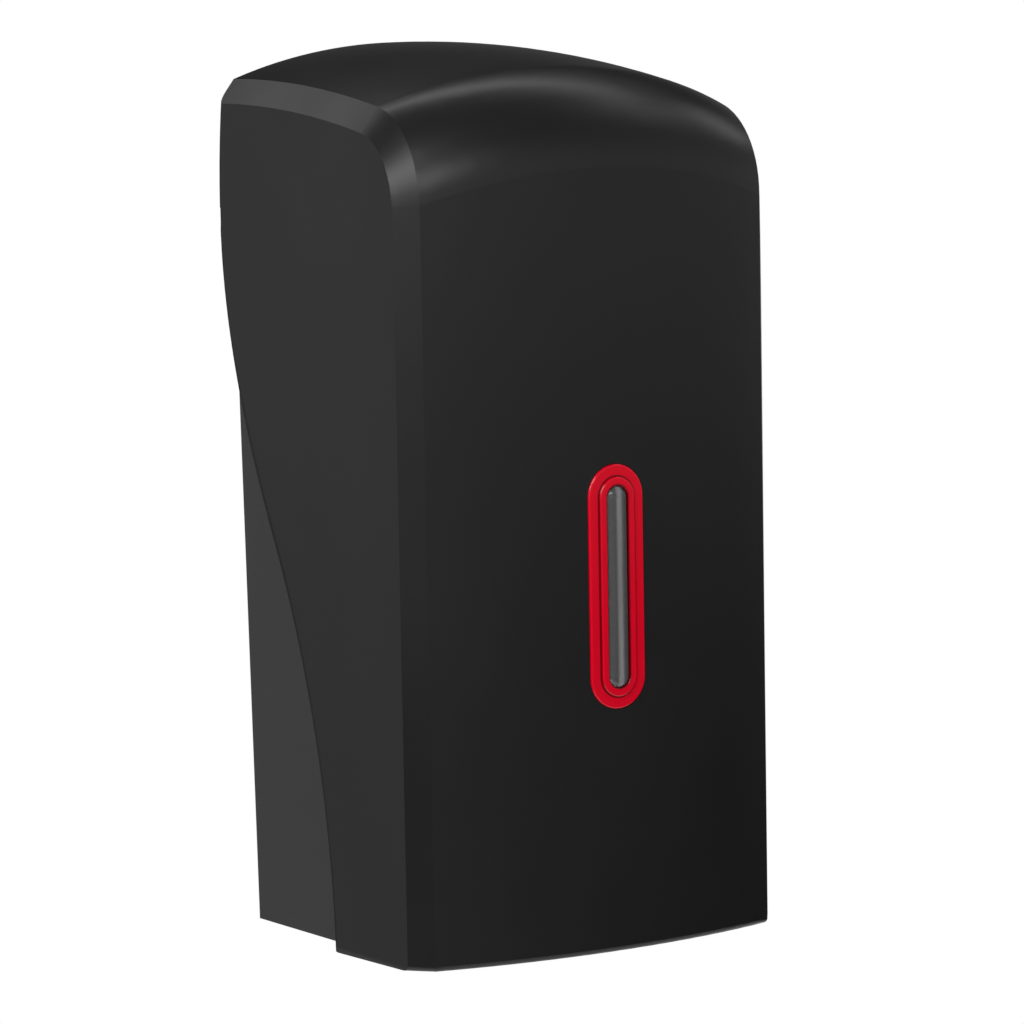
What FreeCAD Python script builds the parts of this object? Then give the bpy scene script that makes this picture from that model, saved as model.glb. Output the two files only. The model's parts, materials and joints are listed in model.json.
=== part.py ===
"""Wall dispenser for packs of folded toilet tissue, as a parametric assembly.

Axes: +X to the right, +Y towards the wall, +Z up. Heights in the sheet are measured from the bottom of the
housing; the finished pieces are lowered so that the origin is the centre of the four wall fixings.
All lengths are millimetres and all angles are degrees.
"""

import FreeCAD, Part
import math
import os

import Sketcher
from FreeCAD import Placement, Rotation, Vector

TOLERANCE = 0.01
# a round end's radius over half its width, so that its arc stays just under half a turn
ROUND_END = 1.0001

SHEET_VALUES = {
    # wall housing
    "housing_width": 128.0,
    "housing_height": 270.0,
    "housing_depth": 108.0,
    "housing_wall": 2.5,
    "back_thickness": 3.0,
    "shelf_thickness": 3.0,
    "arm_depth": 40.0,
    "lip_height": 62.0,
    "lip_bevel_height": 1.0,
    "shoulder_height": 156.0,
    "shoulder_radius": 105.0,
    "thumb_notch_width": 52.0,
    "thumb_notch_depth": 34.0,
    "thumb_notch_corner": 12.0,
    "rail_height": 3.5,
    "rail_thickness": 2.0,
    "rail_rear_top": 196.0,
    "rail_front_top": 56.0,
    "rail_rear_depth": 28.0,
    "rail_bush_gap": 1.0,
    "rail_top_bevel": 4.0,
    "rib_height": 3.0,
    "rib_thickness": 1.8,
    "rib_spacing": 38.0,
    "rib_end_gap": 12.0,
    # wall fixings
    "fixing_centre_height": 150.0,
    "fixing_spacing_across": 84.0,
    "fixing_spacing_up": 190.0,
    "fixing_slot_width": 5.5,
    "fixing_slot_length": 10.0,
    "fixing_pad_border": 4.0,
    "fixing_pad_height": 2.0,
    # dispensing throat in the shelf
    "throat_centre_depth": 54.0,
    "throat_opening_length": 66.0,
    "throat_opening_width": 40.0,
    "throat_wall": 2.2,
    "throat_fit": 0.15,
    "throat_flange_border": 6.5,
    "throat_flange_thickness": 2.0,
    "throat_below_shelf": 1.2,
    "throat_mouth_radius": 1.8,
    "throat_hook_reach": 0.9,
    "throat_hook_width": 10.0,
    "throat_hook_gap": 0.15,
    # cover shell
    "cover_wall": 2.8,
    "cover_side_gap": 3.2,
    "cover_front_gap": 9.1,
    "cover_roof_rise": 16.5,
    "front_lean": 1.743,
    "top_crest_setback": 18.4,
    "top_arc_radius": 543.0,
    "top_front_radius": 33.3,
    "crown_rise": 18.6,
    "crown_direction": 132.2,
    "edge_chamfer": 5.9,
    "rim_low_depth": 58.4,
    "rim_low_height": -2.3,
    "rim_low_radius": 289.2,
    "rim_high_depth": 0.3,
    "rim_high_height": 237.3,
    "rim_roll_low": 10.0,
    "rim_roll_high": 2.9,
    "rim_roll_high_inside": 0.8,
    "cover_bottom_height": -1.45,
    "cover_bottom_rise": 1.0,
    "front_lower_edge_radius": 1.8,
    "rim_side_clearance": 0.8,
    "closing_rib_spacing": 84.0,
    "closing_rib_thickness": 2.2,
    "closing_rib_length": 24.0,
    "closing_rib_overlap": 6.0,
    "closing_rib_foot": 5.0,
    "closing_gap": 0.3,
    # cover hinge
    "hinge_inset": 10.0,
    "hinge_height": 14.0,
    "hinge_pin_diameter": 6.0,
    "hinge_pin_head_diameter": 10.0,
    "hinge_pin_head_thickness": 2.0,
    "hinge_pin_head_gap": 0.3,
    "hinge_pin_chamfer": 0.6,
    "hinge_pin_seat": 3.8,
    "hinge_pin_fit": 0.05,
    "hinge_pin_end_gap": 0.1,
    "hinge_boss_diameter": 14.0,
    "hinge_washer_diameter": 12.0,
    "hinge_washer_thickness": 0.8,
    "hinge_washer_gap": 0.3,
    "bush_outer_diameter": 9.0,
    "bush_flange_diameter": 12.0,
    "bush_flange_thickness": 1.2,
    "running_clearance": 0.05,
    "washer_clearance": 0.1,
    "stop_radius": 10.0,
    "stop_peg_diameter": 5.0,
    "stop_peg_reach": 1.5,
    "stop_arm_width": 5.0,
    "stop_arm_length": 12.5,
    "stop_arm_angle": -120.0,
    "cover_opening": 100.0,
    "stop_margin": 1.0,
    # window in the cover
    "window_height": 119.0,
    "bezel_opening_width": 8.0,
    "bezel_opening_length": 65.6,
    "bezel_ring_border": 2.65,
    "bezel_ring_end_border": 2.85,
    "bezel_ring_height": 0.9,
    "bezel_flange_border": 3.7,
    "bezel_flange_end_border": 4.0,
    "bezel_flange_thickness": 2.0,
    "bezel_recess_depth": 1.6,
    "bezel_recess_clearance": 0.2,
    "bezel_collar_border": 1.6,
    "bezel_collar_end_border": 5.2,
    "bezel_edge_radius": 0.7,
    "bezel_inner_radius": 0.35,
    "window_pad_depth": 5.4,
    "window_pad_border": 4.5,
    "lens_flange_border": 0.8,
    "lens_flange_thickness": 1.5,
    "lens_clearance": 0.1,
    "lens_rise": 0.3,
    "lens_dome_radius": 2.0,
    "retainer_border": 2.4,
    "retainer_thickness": 1.5,
    "retainer_overlap": 0.7,
    "retainer_end_overlap": 2.8,
    "window_screw_offset": 2.6,
    "window_screw_diameter": 2.0,
    "window_screw_length": 3.6,
    "window_screw_head_diameter": 4.0,
    "window_screw_head_height": 1.3,
    # quarter turn lock on the right side
    "lock_depth": 26.0,
    "lock_height": 228.0,
    "lock_slot_clearance": 1.0,
    "barrel_diameter": 13.0,
    "barrel_flat_depth": 0.5,
    "barrel_flange_diameter": 18.0,
    "barrel_flange_thickness": 1.4,
    "barrel_flange_chamfer": 0.5,
    "barrel_inside_reach": 5.0,
    "barrel_fit": 0.15,
    "plug_diameter": 9.0,
    "plug_head_step": 1.0,
    "plug_head_thickness": 2.4,
    "plug_head_chamfer": 0.3,
    "plug_end_play": 0.3,
    "plug_square": 5.6,
    "plug_square_length": 1.8,
    "key_slot_width": 1.6,
    "key_slot_length": 7.0,
    "key_slot_depth": 6.0,
    "nut_across_flats": 17.0,
    "nut_thickness": 2.2,
    "cam_back_gap": 1.0,
    "cam_hub_diameter": 12.0,
    "cam_width": 9.0,
    "cam_tip_chamfer": 2.0,
    "cam_thickness": 2.0,
    "cam_square_clearance": 0.1,
    "cam_washer_diameter": 9.0,
    "cam_washer_thickness": 0.8,
    "cam_screw_diameter": 3.0,
    "cam_screw_length": 7.0,
    "cam_screw_head_diameter": 6.4,
    "cam_screw_head_height": 1.8,
    # keeper plate behind which the cam turns
    "keeper_gap": 0.5,
    "keeper_thickness": 1.5,
    "keeper_reach": 9.5,
    "keeper_end_border": 3.0,
    "keeper_low_offset": 16.0,
    "keeper_height": 10.0,
    "keeper_bend_radius": 1.0,
    "keeper_screw_first": 6.0,
    "keeper_screw_spacing": 8.0,
    "keeper_screw_diameter": 2.8,
    "keeper_screw_head_diameter": 5.0,
    "keeper_screw_head_height": 1.6,
    "keeper_screw_length": 3.6,
    # all screws
    "screw_fit": 0.05,
    "screw_end_gap": 0.2,
    "cross_arm_share": 0.3,
    "cross_width_share": 0.14,
    "cross_depth_share": 0.6,
}


class Size:
    """A number together with the sheet expression that it comes from."""

    def __init__(self, text, value):
        self.text = text
        self.value = value

    def __add__(self, other):
        other = as_size(other)
        return Size(f"({self.text} + {other.text})", self.value + other.value)

    def __sub__(self, other):
        other = as_size(other)
        return Size(f"({self.text} - {other.text})", self.value - other.value)

    def __rsub__(self, other):
        return as_size(other) - self

    def __mul__(self, other):
        other = as_size(other)
        return Size(f"({self.text} * {other.text})", self.value * other.value)

    def __truediv__(self, other):
        other = as_size(other)
        return Size(f"({self.text} / {other.text})", self.value / other.value)

    def __neg__(self):
        return Size(f"(0 - {self.text})", -self.value)

    __radd__ = __add__
    __rmul__ = __mul__


def as_size(number):
    """A plain number as a Size."""
    if isinstance(number, Size):
        return number
    return Size(f"({number})", float(number))


def root(size):
    """Square root of a Size."""
    return Size(f"sqrt({size.text})", math.sqrt(size.value))


def sine(angle):
    """Sine of an angle in degrees."""
    return Size(f"sin({angle.text})", math.sin(math.radians(angle.value)))


def cosine(angle):
    """Cosine of an angle in degrees."""
    return Size(f"cos({angle.text})", math.cos(math.radians(angle.value)))


def tangent(angle):
    """Tangent of an angle in degrees."""
    return Size(f"tan({angle.text})", math.tan(math.radians(angle.value)))


class Sheet:
    """The driving dimensions, read by name."""

    def __init__(self, values):
        self._values = values

    def __getattr__(self, name):
        return Size(f"Sizes.{name}", self._values[name])


S = Sheet(SHEET_VALUES)
DOC = FreeCAD.newDocument("tissue_dispenser")


def make_sheet():
    """Fill the spreadsheet that drives every piece."""
    sheet = DOC.addObject("Spreadsheet::Sheet", "Sizes")
    for row, (alias, value) in enumerate(SHEET_VALUES.items(), start=1):
        sheet.set(f"A{row}", alias.replace("_", " "))
        sheet.set(f"B{row}", str(value))
        sheet.setAlias(f"B{row}", alias)
    DOC.recompute()


def bind(thing, prop, size):
    """Drive one property by a sheet expression."""
    thing.setExpression(prop, as_size(size).text)


def new_body(label):
    """An empty body with its own label."""
    body = DOC.addObject("PartDesign::Body", label)
    body.Label = label
    return body


def origin_plane(body, role):
    """One of the body's own base planes, such as XY_Plane."""
    return next(item for item in body.Origin.OriginFeatures if item.Role == role)


def new_sketch(body, name, role, offset=None, shift=(0, 0), tilt=None):
    """A sketch on a base plane of the body.

    offset moves it along the plane's normal, shift moves it in the plane, and tilt turns it about the
    plane's first direction.
    """
    sketch = body.newObject("Sketcher::SketchObject", name)
    sketch.AttachmentSupport = (origin_plane(body, role), [""])
    sketch.MapMode = "FlatFace"
    if tilt is not None:
        sketch.AttachmentOffset = Placement(Vector(), Rotation(Vector(1, 0, 0), as_size(tilt).value))
        bind(sketch, ".AttachmentOffset.Rotation.Angle", tilt)
    bind(sketch, ".AttachmentOffset.Base.x", shift[0])
    bind(sketch, ".AttachmentOffset.Base.y", shift[1])
    bind(sketch, ".AttachmentOffset.Base.z", 0 if offset is None else offset)
    return sketch


def constrain(sketch, kind, references, size):
    """Add one driving dimension whose value comes from the sheet."""
    size = as_size(size)
    index = sketch.addConstraint(Sketcher.Constraint(kind, *references, size.value))
    sketch.setExpression(f"Constraints[{index}]", size.text)


def fix_point(sketch, edge, point, x, y):
    """Hold a point at x, y from the sketch's origin."""
    constrain(sketch, "DistanceX", (-1, 1, edge, point), x)
    constrain(sketch, "DistanceY", (-1, 1, edge, point), y)


def draw_circle(sketch, x, y, diameter):
    """A circle about x, y."""
    x, y, diameter = as_size(x), as_size(y), as_size(diameter)
    centre = Vector(x.value, y.value, 0)
    edge = sketch.addGeometry(Part.Circle(centre, Vector(0, 0, 1), diameter.value / 2), False)
    fix_point(sketch, edge, 3, x, y)
    constrain(sketch, "Diameter", (edge,), diameter)


def arc_between(start, end, radius):
    """The arc under half a turn from start to end; a negative radius bulges to the other side."""
    chord = end - start
    size = abs(radius)
    reach = math.sqrt(max(size**2 - (chord.Length / 2) ** 2, 0.0))
    normal = Vector(-chord.y, chord.x, 0).normalize() * (1 if radius > 0 else -1)
    centre = (start + end) * 0.5 + normal * reach
    first, last = (start, end) if radius > 0 else (end, start)
    first, last = (math.atan2(point.y - centre.y, point.x - centre.x) for point in (first, last))
    if last < first:
        last += 2 * math.pi
    return Part.ArcOfCircle(Part.Circle(centre, Vector(0, 0, 1), size), first, last)


def draw_outline(sketch, corners):
    """A closed outline.

    corners is a list of (x, y) for a line to the next corner, or (x, y, radius) for an arc to it, which
    bulges to the right of the way along for a positive radius and to the left for a negative one.
    """
    points = [(as_size(corner[0]), as_size(corner[1])) for corner in corners]
    count = len(corners)
    edges = []
    for index, corner in enumerate(corners):
        x0, y0 = points[index]
        x1, y1 = points[(index + 1) % count]
        start = Vector(x0.value, y0.value, 0)
        end = Vector(x1.value, y1.value, 0)
        if len(corner) == 3:
            edge = sketch.addGeometry(arc_between(start, end, as_size(corner[2]).value), False)
            forward = (sketch.getPoint(edge, 1) - start).Length < (sketch.getPoint(edge, 2) - start).Length
            edges.append((edge, 1 if forward else 2, 2 if forward else 1))
        else:
            edge = sketch.addGeometry(Part.LineSegment(start, end), False)
            edges.append((edge, 1, 2))
    for index in range(count):
        edge, _, last = edges[index]
        following, first, _ = edges[(index + 1) % count]
        sketch.addConstraint(Sketcher.Constraint("Coincident", edge, last, following, first))
    for (edge, first, _), (x, y), corner in zip(edges, points, corners):
        fix_point(sketch, edge, first, x, y)
        if len(corner) == 3:
            radius = as_size(corner[2])
            constrain(sketch, "Radius", (edge,), radius if radius.value > 0 else -radius)
    return edges


def draw_box(sketch, low_x, low_y, high_x, high_y):
    """A rectangle between two corners."""
    draw_outline(sketch, [(low_x, low_y), (high_x, low_y), (high_x, high_y), (low_x, high_y)])


def draw_obround(sketch, x, y, length, width, upright=False):
    """A slot shape about x, y, of overall length and width, along x, or along y if upright."""
    x, y, length, width = as_size(x), as_size(y), as_size(length), as_size(width)
    run = (length - width) / 2
    half = width / 2
    if upright:
        centres = [(x, y + run, 0.0), (x, y - run, math.pi)]
    else:
        centres = [(x + run, y, -math.pi / 2), (x - run, y, math.pi / 2)]
    arcs = []
    for centre_x, centre_y, first in centres:
        circle = Part.Circle(Vector(centre_x.value, centre_y.value, 0), Vector(0, 0, 1), half.value)
        arcs.append(sketch.addGeometry(Part.ArcOfCircle(circle, first, first + math.pi), False))
    lines = []
    for index in range(2):
        start = sketch.getPoint(arcs[index], 2)
        end = sketch.getPoint(arcs[1 - index], 1)
        lines.append(sketch.addGeometry(Part.LineSegment(start, end), False))
    for index in range(2):
        sketch.addConstraint(Sketcher.Constraint("Tangent", arcs[index], 2, lines[index], 1))
        sketch.addConstraint(Sketcher.Constraint("Tangent", lines[index], 2, arcs[1 - index], 1))
    sketch.addConstraint(Sketcher.Constraint("Equal", arcs[0], arcs[1]))
    for edge, (centre_x, centre_y, _) in zip(arcs, centres):
        fix_point(sketch, edge, 3, centre_x, centre_y)
    constrain(sketch, "Radius", (arcs[0],), half)


def pad(body, sketch, length, symmetric=False, reverse=False):
    """Grow a sketch into solid."""
    return extrude(body, sketch, "PartDesign::Pad", length, symmetric, reverse)


def pocket(body, sketch, length, symmetric=False, reverse=False, refine=True):
    """Cut a sketch out of the solid, and check that something was cut."""
    before = body.Shape.Volume
    feature = extrude(body, sketch, "PartDesign::Pocket", length, symmetric, reverse)
    if not refine:
        feature.Refine = False
        DOC.recompute()
    if not feature.Shape.Volume < before:
        raise RuntimeError(f"{feature.Label} cuts nothing")
    return feature


def extrude(body, sketch, kind, length, symmetric, reverse):
    """A pad or a pocket of one length."""
    feature = body.newObject(kind, f"{sketch.Name}_{kind[12:].lower()}")
    feature.Profile = sketch
    feature.SideType = "Symmetric" if symmetric else "One side"
    feature.Reversed = reverse
    bind(feature, "Length", length)
    DOC.recompute()
    return feature


def revolve(body, name, corners):
    """Turn a half outline, given as (radius, height), about the body's own Z axis."""
    sketch = new_sketch(body, name, "XZ_Plane")
    draw_outline(sketch, corners)
    feature = body.newObject("PartDesign::Revolution", f"{name}_turned")
    feature.Profile = sketch
    feature.ReferenceAxis = (sketch, ["V_Axis"])
    feature.Angle = 360.0
    DOC.recompute()
    return feature


def edge_names(shape, wanted):
    """Names of the edges that pass a test."""
    return [f"Edge{index}" for index, edge in enumerate(shape.Edges, start=1) if wanted(edge)]


def dress(body, kind, base, names, prop, size):
    """A fillet or a chamfer on named edges of a feature."""
    feature = body.newObject(kind, f"{base.Name}_{kind[12:].lower()}")
    feature.Base = (base, names)
    bind(feature, prop, size)
    DOC.recompute()
    return feature


def place(thing, x=0, y=0, z=0, axis=None, angle=0):
    """Put a piece at x, y and a height above the housing's bottom, turned about an axis."""
    thing.Placement = Placement(Vector(), Rotation(axis or Vector(0, 0, 1), as_size(angle).value))
    if axis is not None:
        bind(thing, ".Placement.Rotation.Angle", angle)
    bind(thing, ".Placement.Base.x", x)
    bind(thing, ".Placement.Base.y", y)
    bind(thing, ".Placement.Base.z", as_size(z) - S.fixing_centre_height)


def near(value, target):
    """Whether two lengths agree."""
    return abs(value - target) < TOLERANCE


def is_level_edge(edge, height, half_x, half_y):
    """Whether an edge lies at one height, within a rectangle about the middle."""
    box = edge.BoundBox
    inside = max(box.XMax, -box.XMin) < half_x + TOLERANCE and max(box.YMax, -box.YMin) < half_y + TOLERANCE
    return inside and near(box.ZMin, height) and near(box.ZMax, height)


def overrun():
    """How far a cutter runs past a face, so that it leaves no skin."""
    return S.housing_wall * 2


def rooting():
    """How deep a raised feature is rooted in what carries it."""
    return S.cover_wall / 7


def cover_width():
    """Width of the cover over its flat sides."""
    return S.housing_width + (S.cover_wall + S.cover_side_gap) * 2


def front_depth():
    """Distance from the wall to the lower front edge of the cover's sides."""
    return S.housing_depth + S.cover_wall + S.cover_front_gap


def crest_height():
    """Height of the highest point of the cover's side outline."""
    return S.housing_height + S.cover_roof_rise


def front_reach():
    """A depth in front of the whole cover."""
    return front_depth() + S.crown_rise * 2 + overrun()


def rear_reach():
    """A distance behind the whole cover before it is trimmed."""
    return S.top_crest_setback + overrun()


def top_reach():
    """A height above the whole cover."""
    return crest_height() + S.crown_rise + overrun()


def low_reach():
    """A height below the whole cover, where its untrimmed form begins."""
    return -(S.crown_rise * 2 + overrun())


def hinge_depth():
    """Distance of the hinge axis from the wall."""
    return S.housing_depth - S.hinge_inset


def add_crown(body, inset):
    """The outer form of the cover, moved in by a wall: a side outline carried along a shallow arch."""
    lean = S.front_lean
    slope = tangent(lean)
    front = front_depth() - inset / cosine(lean)
    centre_z = crest_height() - S.top_arc_radius
    reach = S.top_arc_radius - inset
    lever = front + S.top_crest_setback
    low = low_reach()
    rear = S.top_crest_setback
    a = slope * slope + 1
    b = (slope * lever - centre_z) * 2
    c = lever * lever + centre_z * centre_z - reach * reach
    corner_z = (root(b * b - a * c * 4) - b) / (a * 2)
    half = cover_width() / 2
    outline = new_sketch(body, "side_outline", "YZ_Plane", -half)
    draw_outline(outline, [
        (rear, low),
        (rear, centre_z + reach, reach),
        (-(front + slope * corner_z), corner_z),
        (-(front + slope * low), low),
    ])
    arch = new_sketch(body, "crown_arch", "XY_Plane", tilt=S.crown_direction)
    radius = (half * half + S.crown_rise * S.crown_rise) / (S.crown_rise * 2)
    circle = Part.Circle(Vector(0, (S.crown_rise - radius).value, 0), Vector(0, 0, 1), radius.value)
    turn = math.asin(half.value / radius.value)
    edge = arch.addGeometry(Part.ArcOfCircle(circle, math.pi / 2 - turn, math.pi / 2 + turn), False)
    fix_point(arch, edge, 1, half, 0)
    fix_point(arch, edge, 2, -half, 0)
    constrain(arch, "Radius", (edge,), radius)
    crown = body.newObject("PartDesign::AdditivePipe", "crown")
    crown.Profile = outline
    crown.Spine = (arch, ["Edge1"])
    crown.Mode = "Fixed"
    DOC.recompute()
    return crown


def is_front_corner(edge):
    """Whether an edge is the sharp one across the top front."""
    centre = edge.CenterOfMass
    across = edge.BoundBox.XLength > cover_width().value / 2
    return across and centre.y < -front_depth().value / 2 and centre.z > S.housing_height.value / 2


def is_side_outline(half_width):
    """A test for the front and top edges of the flat sides."""
    def wanted(edge):
        box = edge.BoundBox
        on_side = box.XLength < TOLERANCE and near(abs(box.XMin), half_width)
        return on_side and box.YMin < 0 < box.ZMax
    return wanted


def rim_corners(inset, top):
    """The S shaped rear limit of the cover, from the bottom up, as corners of an outline."""
    y0, z0 = -S.rim_low_depth, S.rim_low_height
    y1, z1 = -S.rim_high_depth, S.rim_high_height
    a, b = y1 - y0, z1 - z0
    total = (a * a + b * b) / (a * 2)
    low_radius, high_radius = S.rim_low_radius, total - S.rim_low_radius
    share = (low_radius + inset) / total
    high = high_radius - inset
    rise = top - z1
    return [
        (y0 - inset, low_reach()),
        (y0 - inset, z0, -(low_radius + inset)),
        (y0 + low_radius + share * (a - total), z0 + share * b, high),
        (y1 - inset, z1, high),
        (y1 - inset - high + root(high * high - rise * rise), top),
    ]


def cover_form(label, inset, corner_radius, chamfer, centre_half=None):
    """The rounded and chamfered outer form of the cover, or of its hollow if moved in by a wall.

    With centre_half the form keeps its rear end open and is cut off at that distance from the middle.
    """
    body = new_body(label)
    crown = add_crown(body, inset)
    names = edge_names(crown.Shape, is_front_corner)
    rounded = dress(body, "PartDesign::Fillet", crown, names, "Radius", corner_radius)
    half = cover_width() / 2
    if as_size(inset).value > 0:
        half = half - inset
        trim_sides(body, "side_trim", half)
        rounded = body.Tip
    names = edge_names(rounded.Shape, is_side_outline(half.value))
    dress(body, "PartDesign::Chamfer", rounded, names, "Size", chamfer)
    if centre_half is not None:
        trim_sides(body, "centre_trim", centre_half)
        return body
    behind, top = rear_reach(), top_reach()
    rim = new_sketch(body, "rear_limit", "YZ_Plane")
    draw_outline(rim, rim_corners(inset, top) + [(behind, top), (behind, low_reach())])
    pocket(body, rim, cover_width() + overrun() * 2, symmetric=True, refine=False)
    return body


def trim_sides(body, name, half):
    """Cut everything off beyond a distance from the middle plane."""
    sides = new_sketch(body, name, "XZ_Plane")
    low, top = low_reach() - overrun(), top_reach()
    draw_box(sides, half, low, cover_width(), top)
    draw_box(sides, -cover_width(), low, -half, top)
    pocket(body, sides, front_reach() * 2, symmetric=True)


def roll_rim(form, half_width, low, high):
    """Round the rear rim of a form, wide at the bottom of the sides and narrow at the top."""
    edges = []
    half_width, low, high = half_width.value, low.value, high.value
    for index, edge in enumerate(form.Shape.Edges, start=1):
        box = edge.BoundBox
        if not (near(abs(box.XMin), half_width) and box.XLength < TOLERANCE):
            continue
        curved = edge.Curve.TypeId == "Part::GeomCircle" and edge.Curve.Radius > S.top_front_radius.value
        if curved and box.ZLength > box.YLength:
            if near(box.ZMin, S.rim_high_height.value):
                edges.append((index, high, high))
            elif near(box.ZMax, S.rim_high_height.value):
                ends = [vertex.Z for vertex in edge.Vertexes]
                edges.append((index, low, high) if ends[0] < ends[1] else (index, high, low))
            else:
                edges.append((index, low, low))
        elif box.YLength < TOLERANCE and near(box.ZMax, S.rim_low_height.value):
            edges.append((index, low, low))
    rolled = DOC.addObject("Part::Fillet", f"{form.Label}_rolled")
    rolled.Base = form
    rolled.Edges = edges
    DOC.recompute()
    return rolled


def crown_offset(across):
    """How far the crown has moved the side outline at a distance from the middle plane."""
    half = cover_width() / 2
    radius = (half * half + S.crown_rise * S.crown_rise) / (S.crown_rise * 2)
    return root(radius * radius - across * across) - (radius - S.crown_rise)


def crest_depth(height):
    """Depth of the cover's outer face on its middle plane at a height."""
    forward = -S.crown_rise * cosine(S.crown_direction)
    upward = S.crown_rise * sine(S.crown_direction)
    return front_depth() + forward + tangent(S.front_lean) * (height - upward)


def roof_height(across, depth, inset):
    """Height of the cover's roof at a distance from the middle plane and from the wall."""
    moved = crown_offset(across)
    reach = S.top_arc_radius - inset
    lever = depth + S.top_crest_setback + moved * cosine(S.crown_direction)
    top = crest_height() - S.top_arc_radius + root(reach * reach - lever * lever)
    return top + moved * sine(S.crown_direction)


def hollow_cover():
    """The bare shell of the cover: outer form less the hollow behind the rolled rim."""
    wall = S.cover_wall
    corner = S.top_front_radius
    chamfer = S.edge_chamfer
    outer = cover_form("cover_outside", as_size(0), corner, chamfer)
    outer = roll_rim(outer, cover_width() / 2, S.rim_roll_low, S.rim_roll_high)
    inner_chamfer = chamfer - wall * (2 - root(as_size(2)))
    inner = cover_form("cover_inside", wall, corner - wall, inner_chamfer)
    inner = roll_rim(inner, cover_width() / 2 - wall, S.rim_roll_low - wall, S.rim_roll_high_inside)
    middle = S.housing_width / 2 + S.rim_side_clearance
    passage = cover_form("cover_passage", wall, corner - wall, inner_chamfer, middle)
    shell = outer
    for label, tool in (("shell_rolled", inner), ("shell_open", passage)):
        cut = DOC.addObject("Part::Cut", label)
        cut.Base = shell
        cut.Tool = tool
        DOC.recompute()
        shell = cut
    return shell


def make_front_cover():
    """The moulded cover: crowned shell with rolled rim, window seat, hinge bosses, stops and lock hole."""
    body = new_body("front_cover")
    body.BaseFeature = hollow_cover()
    DOC.recompute()

    slope = S.cover_bottom_rise / (front_depth() - S.rim_low_depth)
    ahead, behind = front_reach(), rear_reach()
    low = low_reach() - overrun()
    rear_z = S.cover_bottom_height - slope * (S.rim_low_depth + behind)
    front_z = S.cover_bottom_height + slope * (ahead - S.rim_low_depth)
    bottom = new_sketch(body, "bottom_limit", "YZ_Plane")
    draw_outline(bottom, [(behind, rear_z), (behind, low), (-ahead, low), (-ahead, front_z)])
    trimmed = pocket(body, bottom, cover_width() + overrun() * 2, symmetric=True)

    def lower_front(edge):
        box = edge.BoundBox
        if box.ZMax > S.cover_bottom_rise.value or box.YMin > -front_depth().value:
            return False
        if box.XLength > cover_width().value / 2:
            return box.YMin < -crest_depth(0).value + S.cover_wall.value / 2
        return near(max(box.XMax, -box.XMin), cover_width().value / 2)

    names = edge_names(trimmed.Shape, lower_front)
    dress(body, "PartDesign::Fillet", trimmed, names, "Radius", S.front_lower_edge_radius)

    add_window_seat(body)
    for side in (1, -1):
        add_hinge_boss(body, side)
    add_closing_ribs(body)

    half = cover_width() / 2
    hole = new_sketch(body, "lock_hole", "YZ_Plane", half + overrun())
    across = (S.barrel_diameter / 2 - S.barrel_flat_depth) + S.barrel_fit
    radius = S.barrel_diameter / 2 + S.barrel_fit
    run = root(radius * radius - across * across)
    y, z = -S.lock_depth, S.lock_height
    draw_outline(hole, [
        (y + run, z - across, radius),
        (y + run, z + across),
        (y - run, z + across, radius),
        (y - run, z - across),
    ])
    pocket(body, hole, S.cover_wall + overrun() * 2)
    place(body)
    return body


def window_sketch(body, name, height_above):
    """A sketch in the tilted plane of the window, at a distance outwards from the cover's face."""
    sketch = body.newObject("Sketcher::SketchObject", name)
    sketch.AttachmentSupport = (origin_plane(body, "XZ_Plane"), [""])
    sketch.MapMode = "FlatFace"
    lean = S.front_lean
    sketch.AttachmentOffset = Placement(Vector(), Rotation(Vector(1, 0, 0), lean.value))
    out = as_size(height_above)
    bind(sketch, ".AttachmentOffset.Rotation.Angle", lean)
    bind(sketch, ".AttachmentOffset.Base.x", 0)
    bind(sketch, ".AttachmentOffset.Base.y", S.window_height - out * sine(lean))
    bind(sketch, ".AttachmentOffset.Base.z", crest_depth(S.window_height) + out * cosine(lean))
    return sketch


def window_outline(border, end_border):
    """Length and width of an obround that stands out beyond the window's opening by a border."""
    return S.bezel_opening_length + end_border * 2, S.bezel_opening_width + border * 2


def ring_outline():
    """Length and width of the bezel's raised ring."""
    return window_outline(S.bezel_ring_border, S.bezel_ring_end_border)


def flange_outline():
    """Length and width of the whole bezel."""
    return window_outline(S.bezel_ring_border + S.bezel_flange_border,
                          S.bezel_ring_end_border + S.bezel_flange_end_border)


def collar_outline():
    """Length and width of the bezel's collar."""
    return window_outline(S.bezel_collar_border, S.bezel_collar_end_border)


def window_screw_spacing():
    """Distance between the two screws of the retainer."""
    return S.bezel_opening_length + S.window_screw_offset * 2


def add_window_seat(body):
    """Thickened seat behind the window, with a recess for the bezel and a slot for its collar."""
    depth = S.window_pad_depth
    fit = S.bezel_recess_clearance * 2
    border = S.window_pad_border * 2
    slot_length, slot_width = (size + fit for size in collar_outline())
    recess_length, recess_width = (size + fit for size in flange_outline())
    seat = window_sketch(body, "window_seat", -depth)
    draw_obround(seat, 0, 0, slot_length + border, slot_width + border, upright=True)
    pad(body, seat, depth - S.cover_wall + rooting())
    past = overrun()
    recess = window_sketch(body, "window_recess", past)
    draw_obround(recess, 0, 0, recess_length, recess_width, upright=True)
    pocket(body, recess, S.bezel_recess_depth + past)
    slot = window_sketch(body, "window_slot", past)
    draw_obround(slot, 0, 0, slot_length, slot_width, upright=True)
    pocket(body, slot, depth + past * 2)


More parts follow.
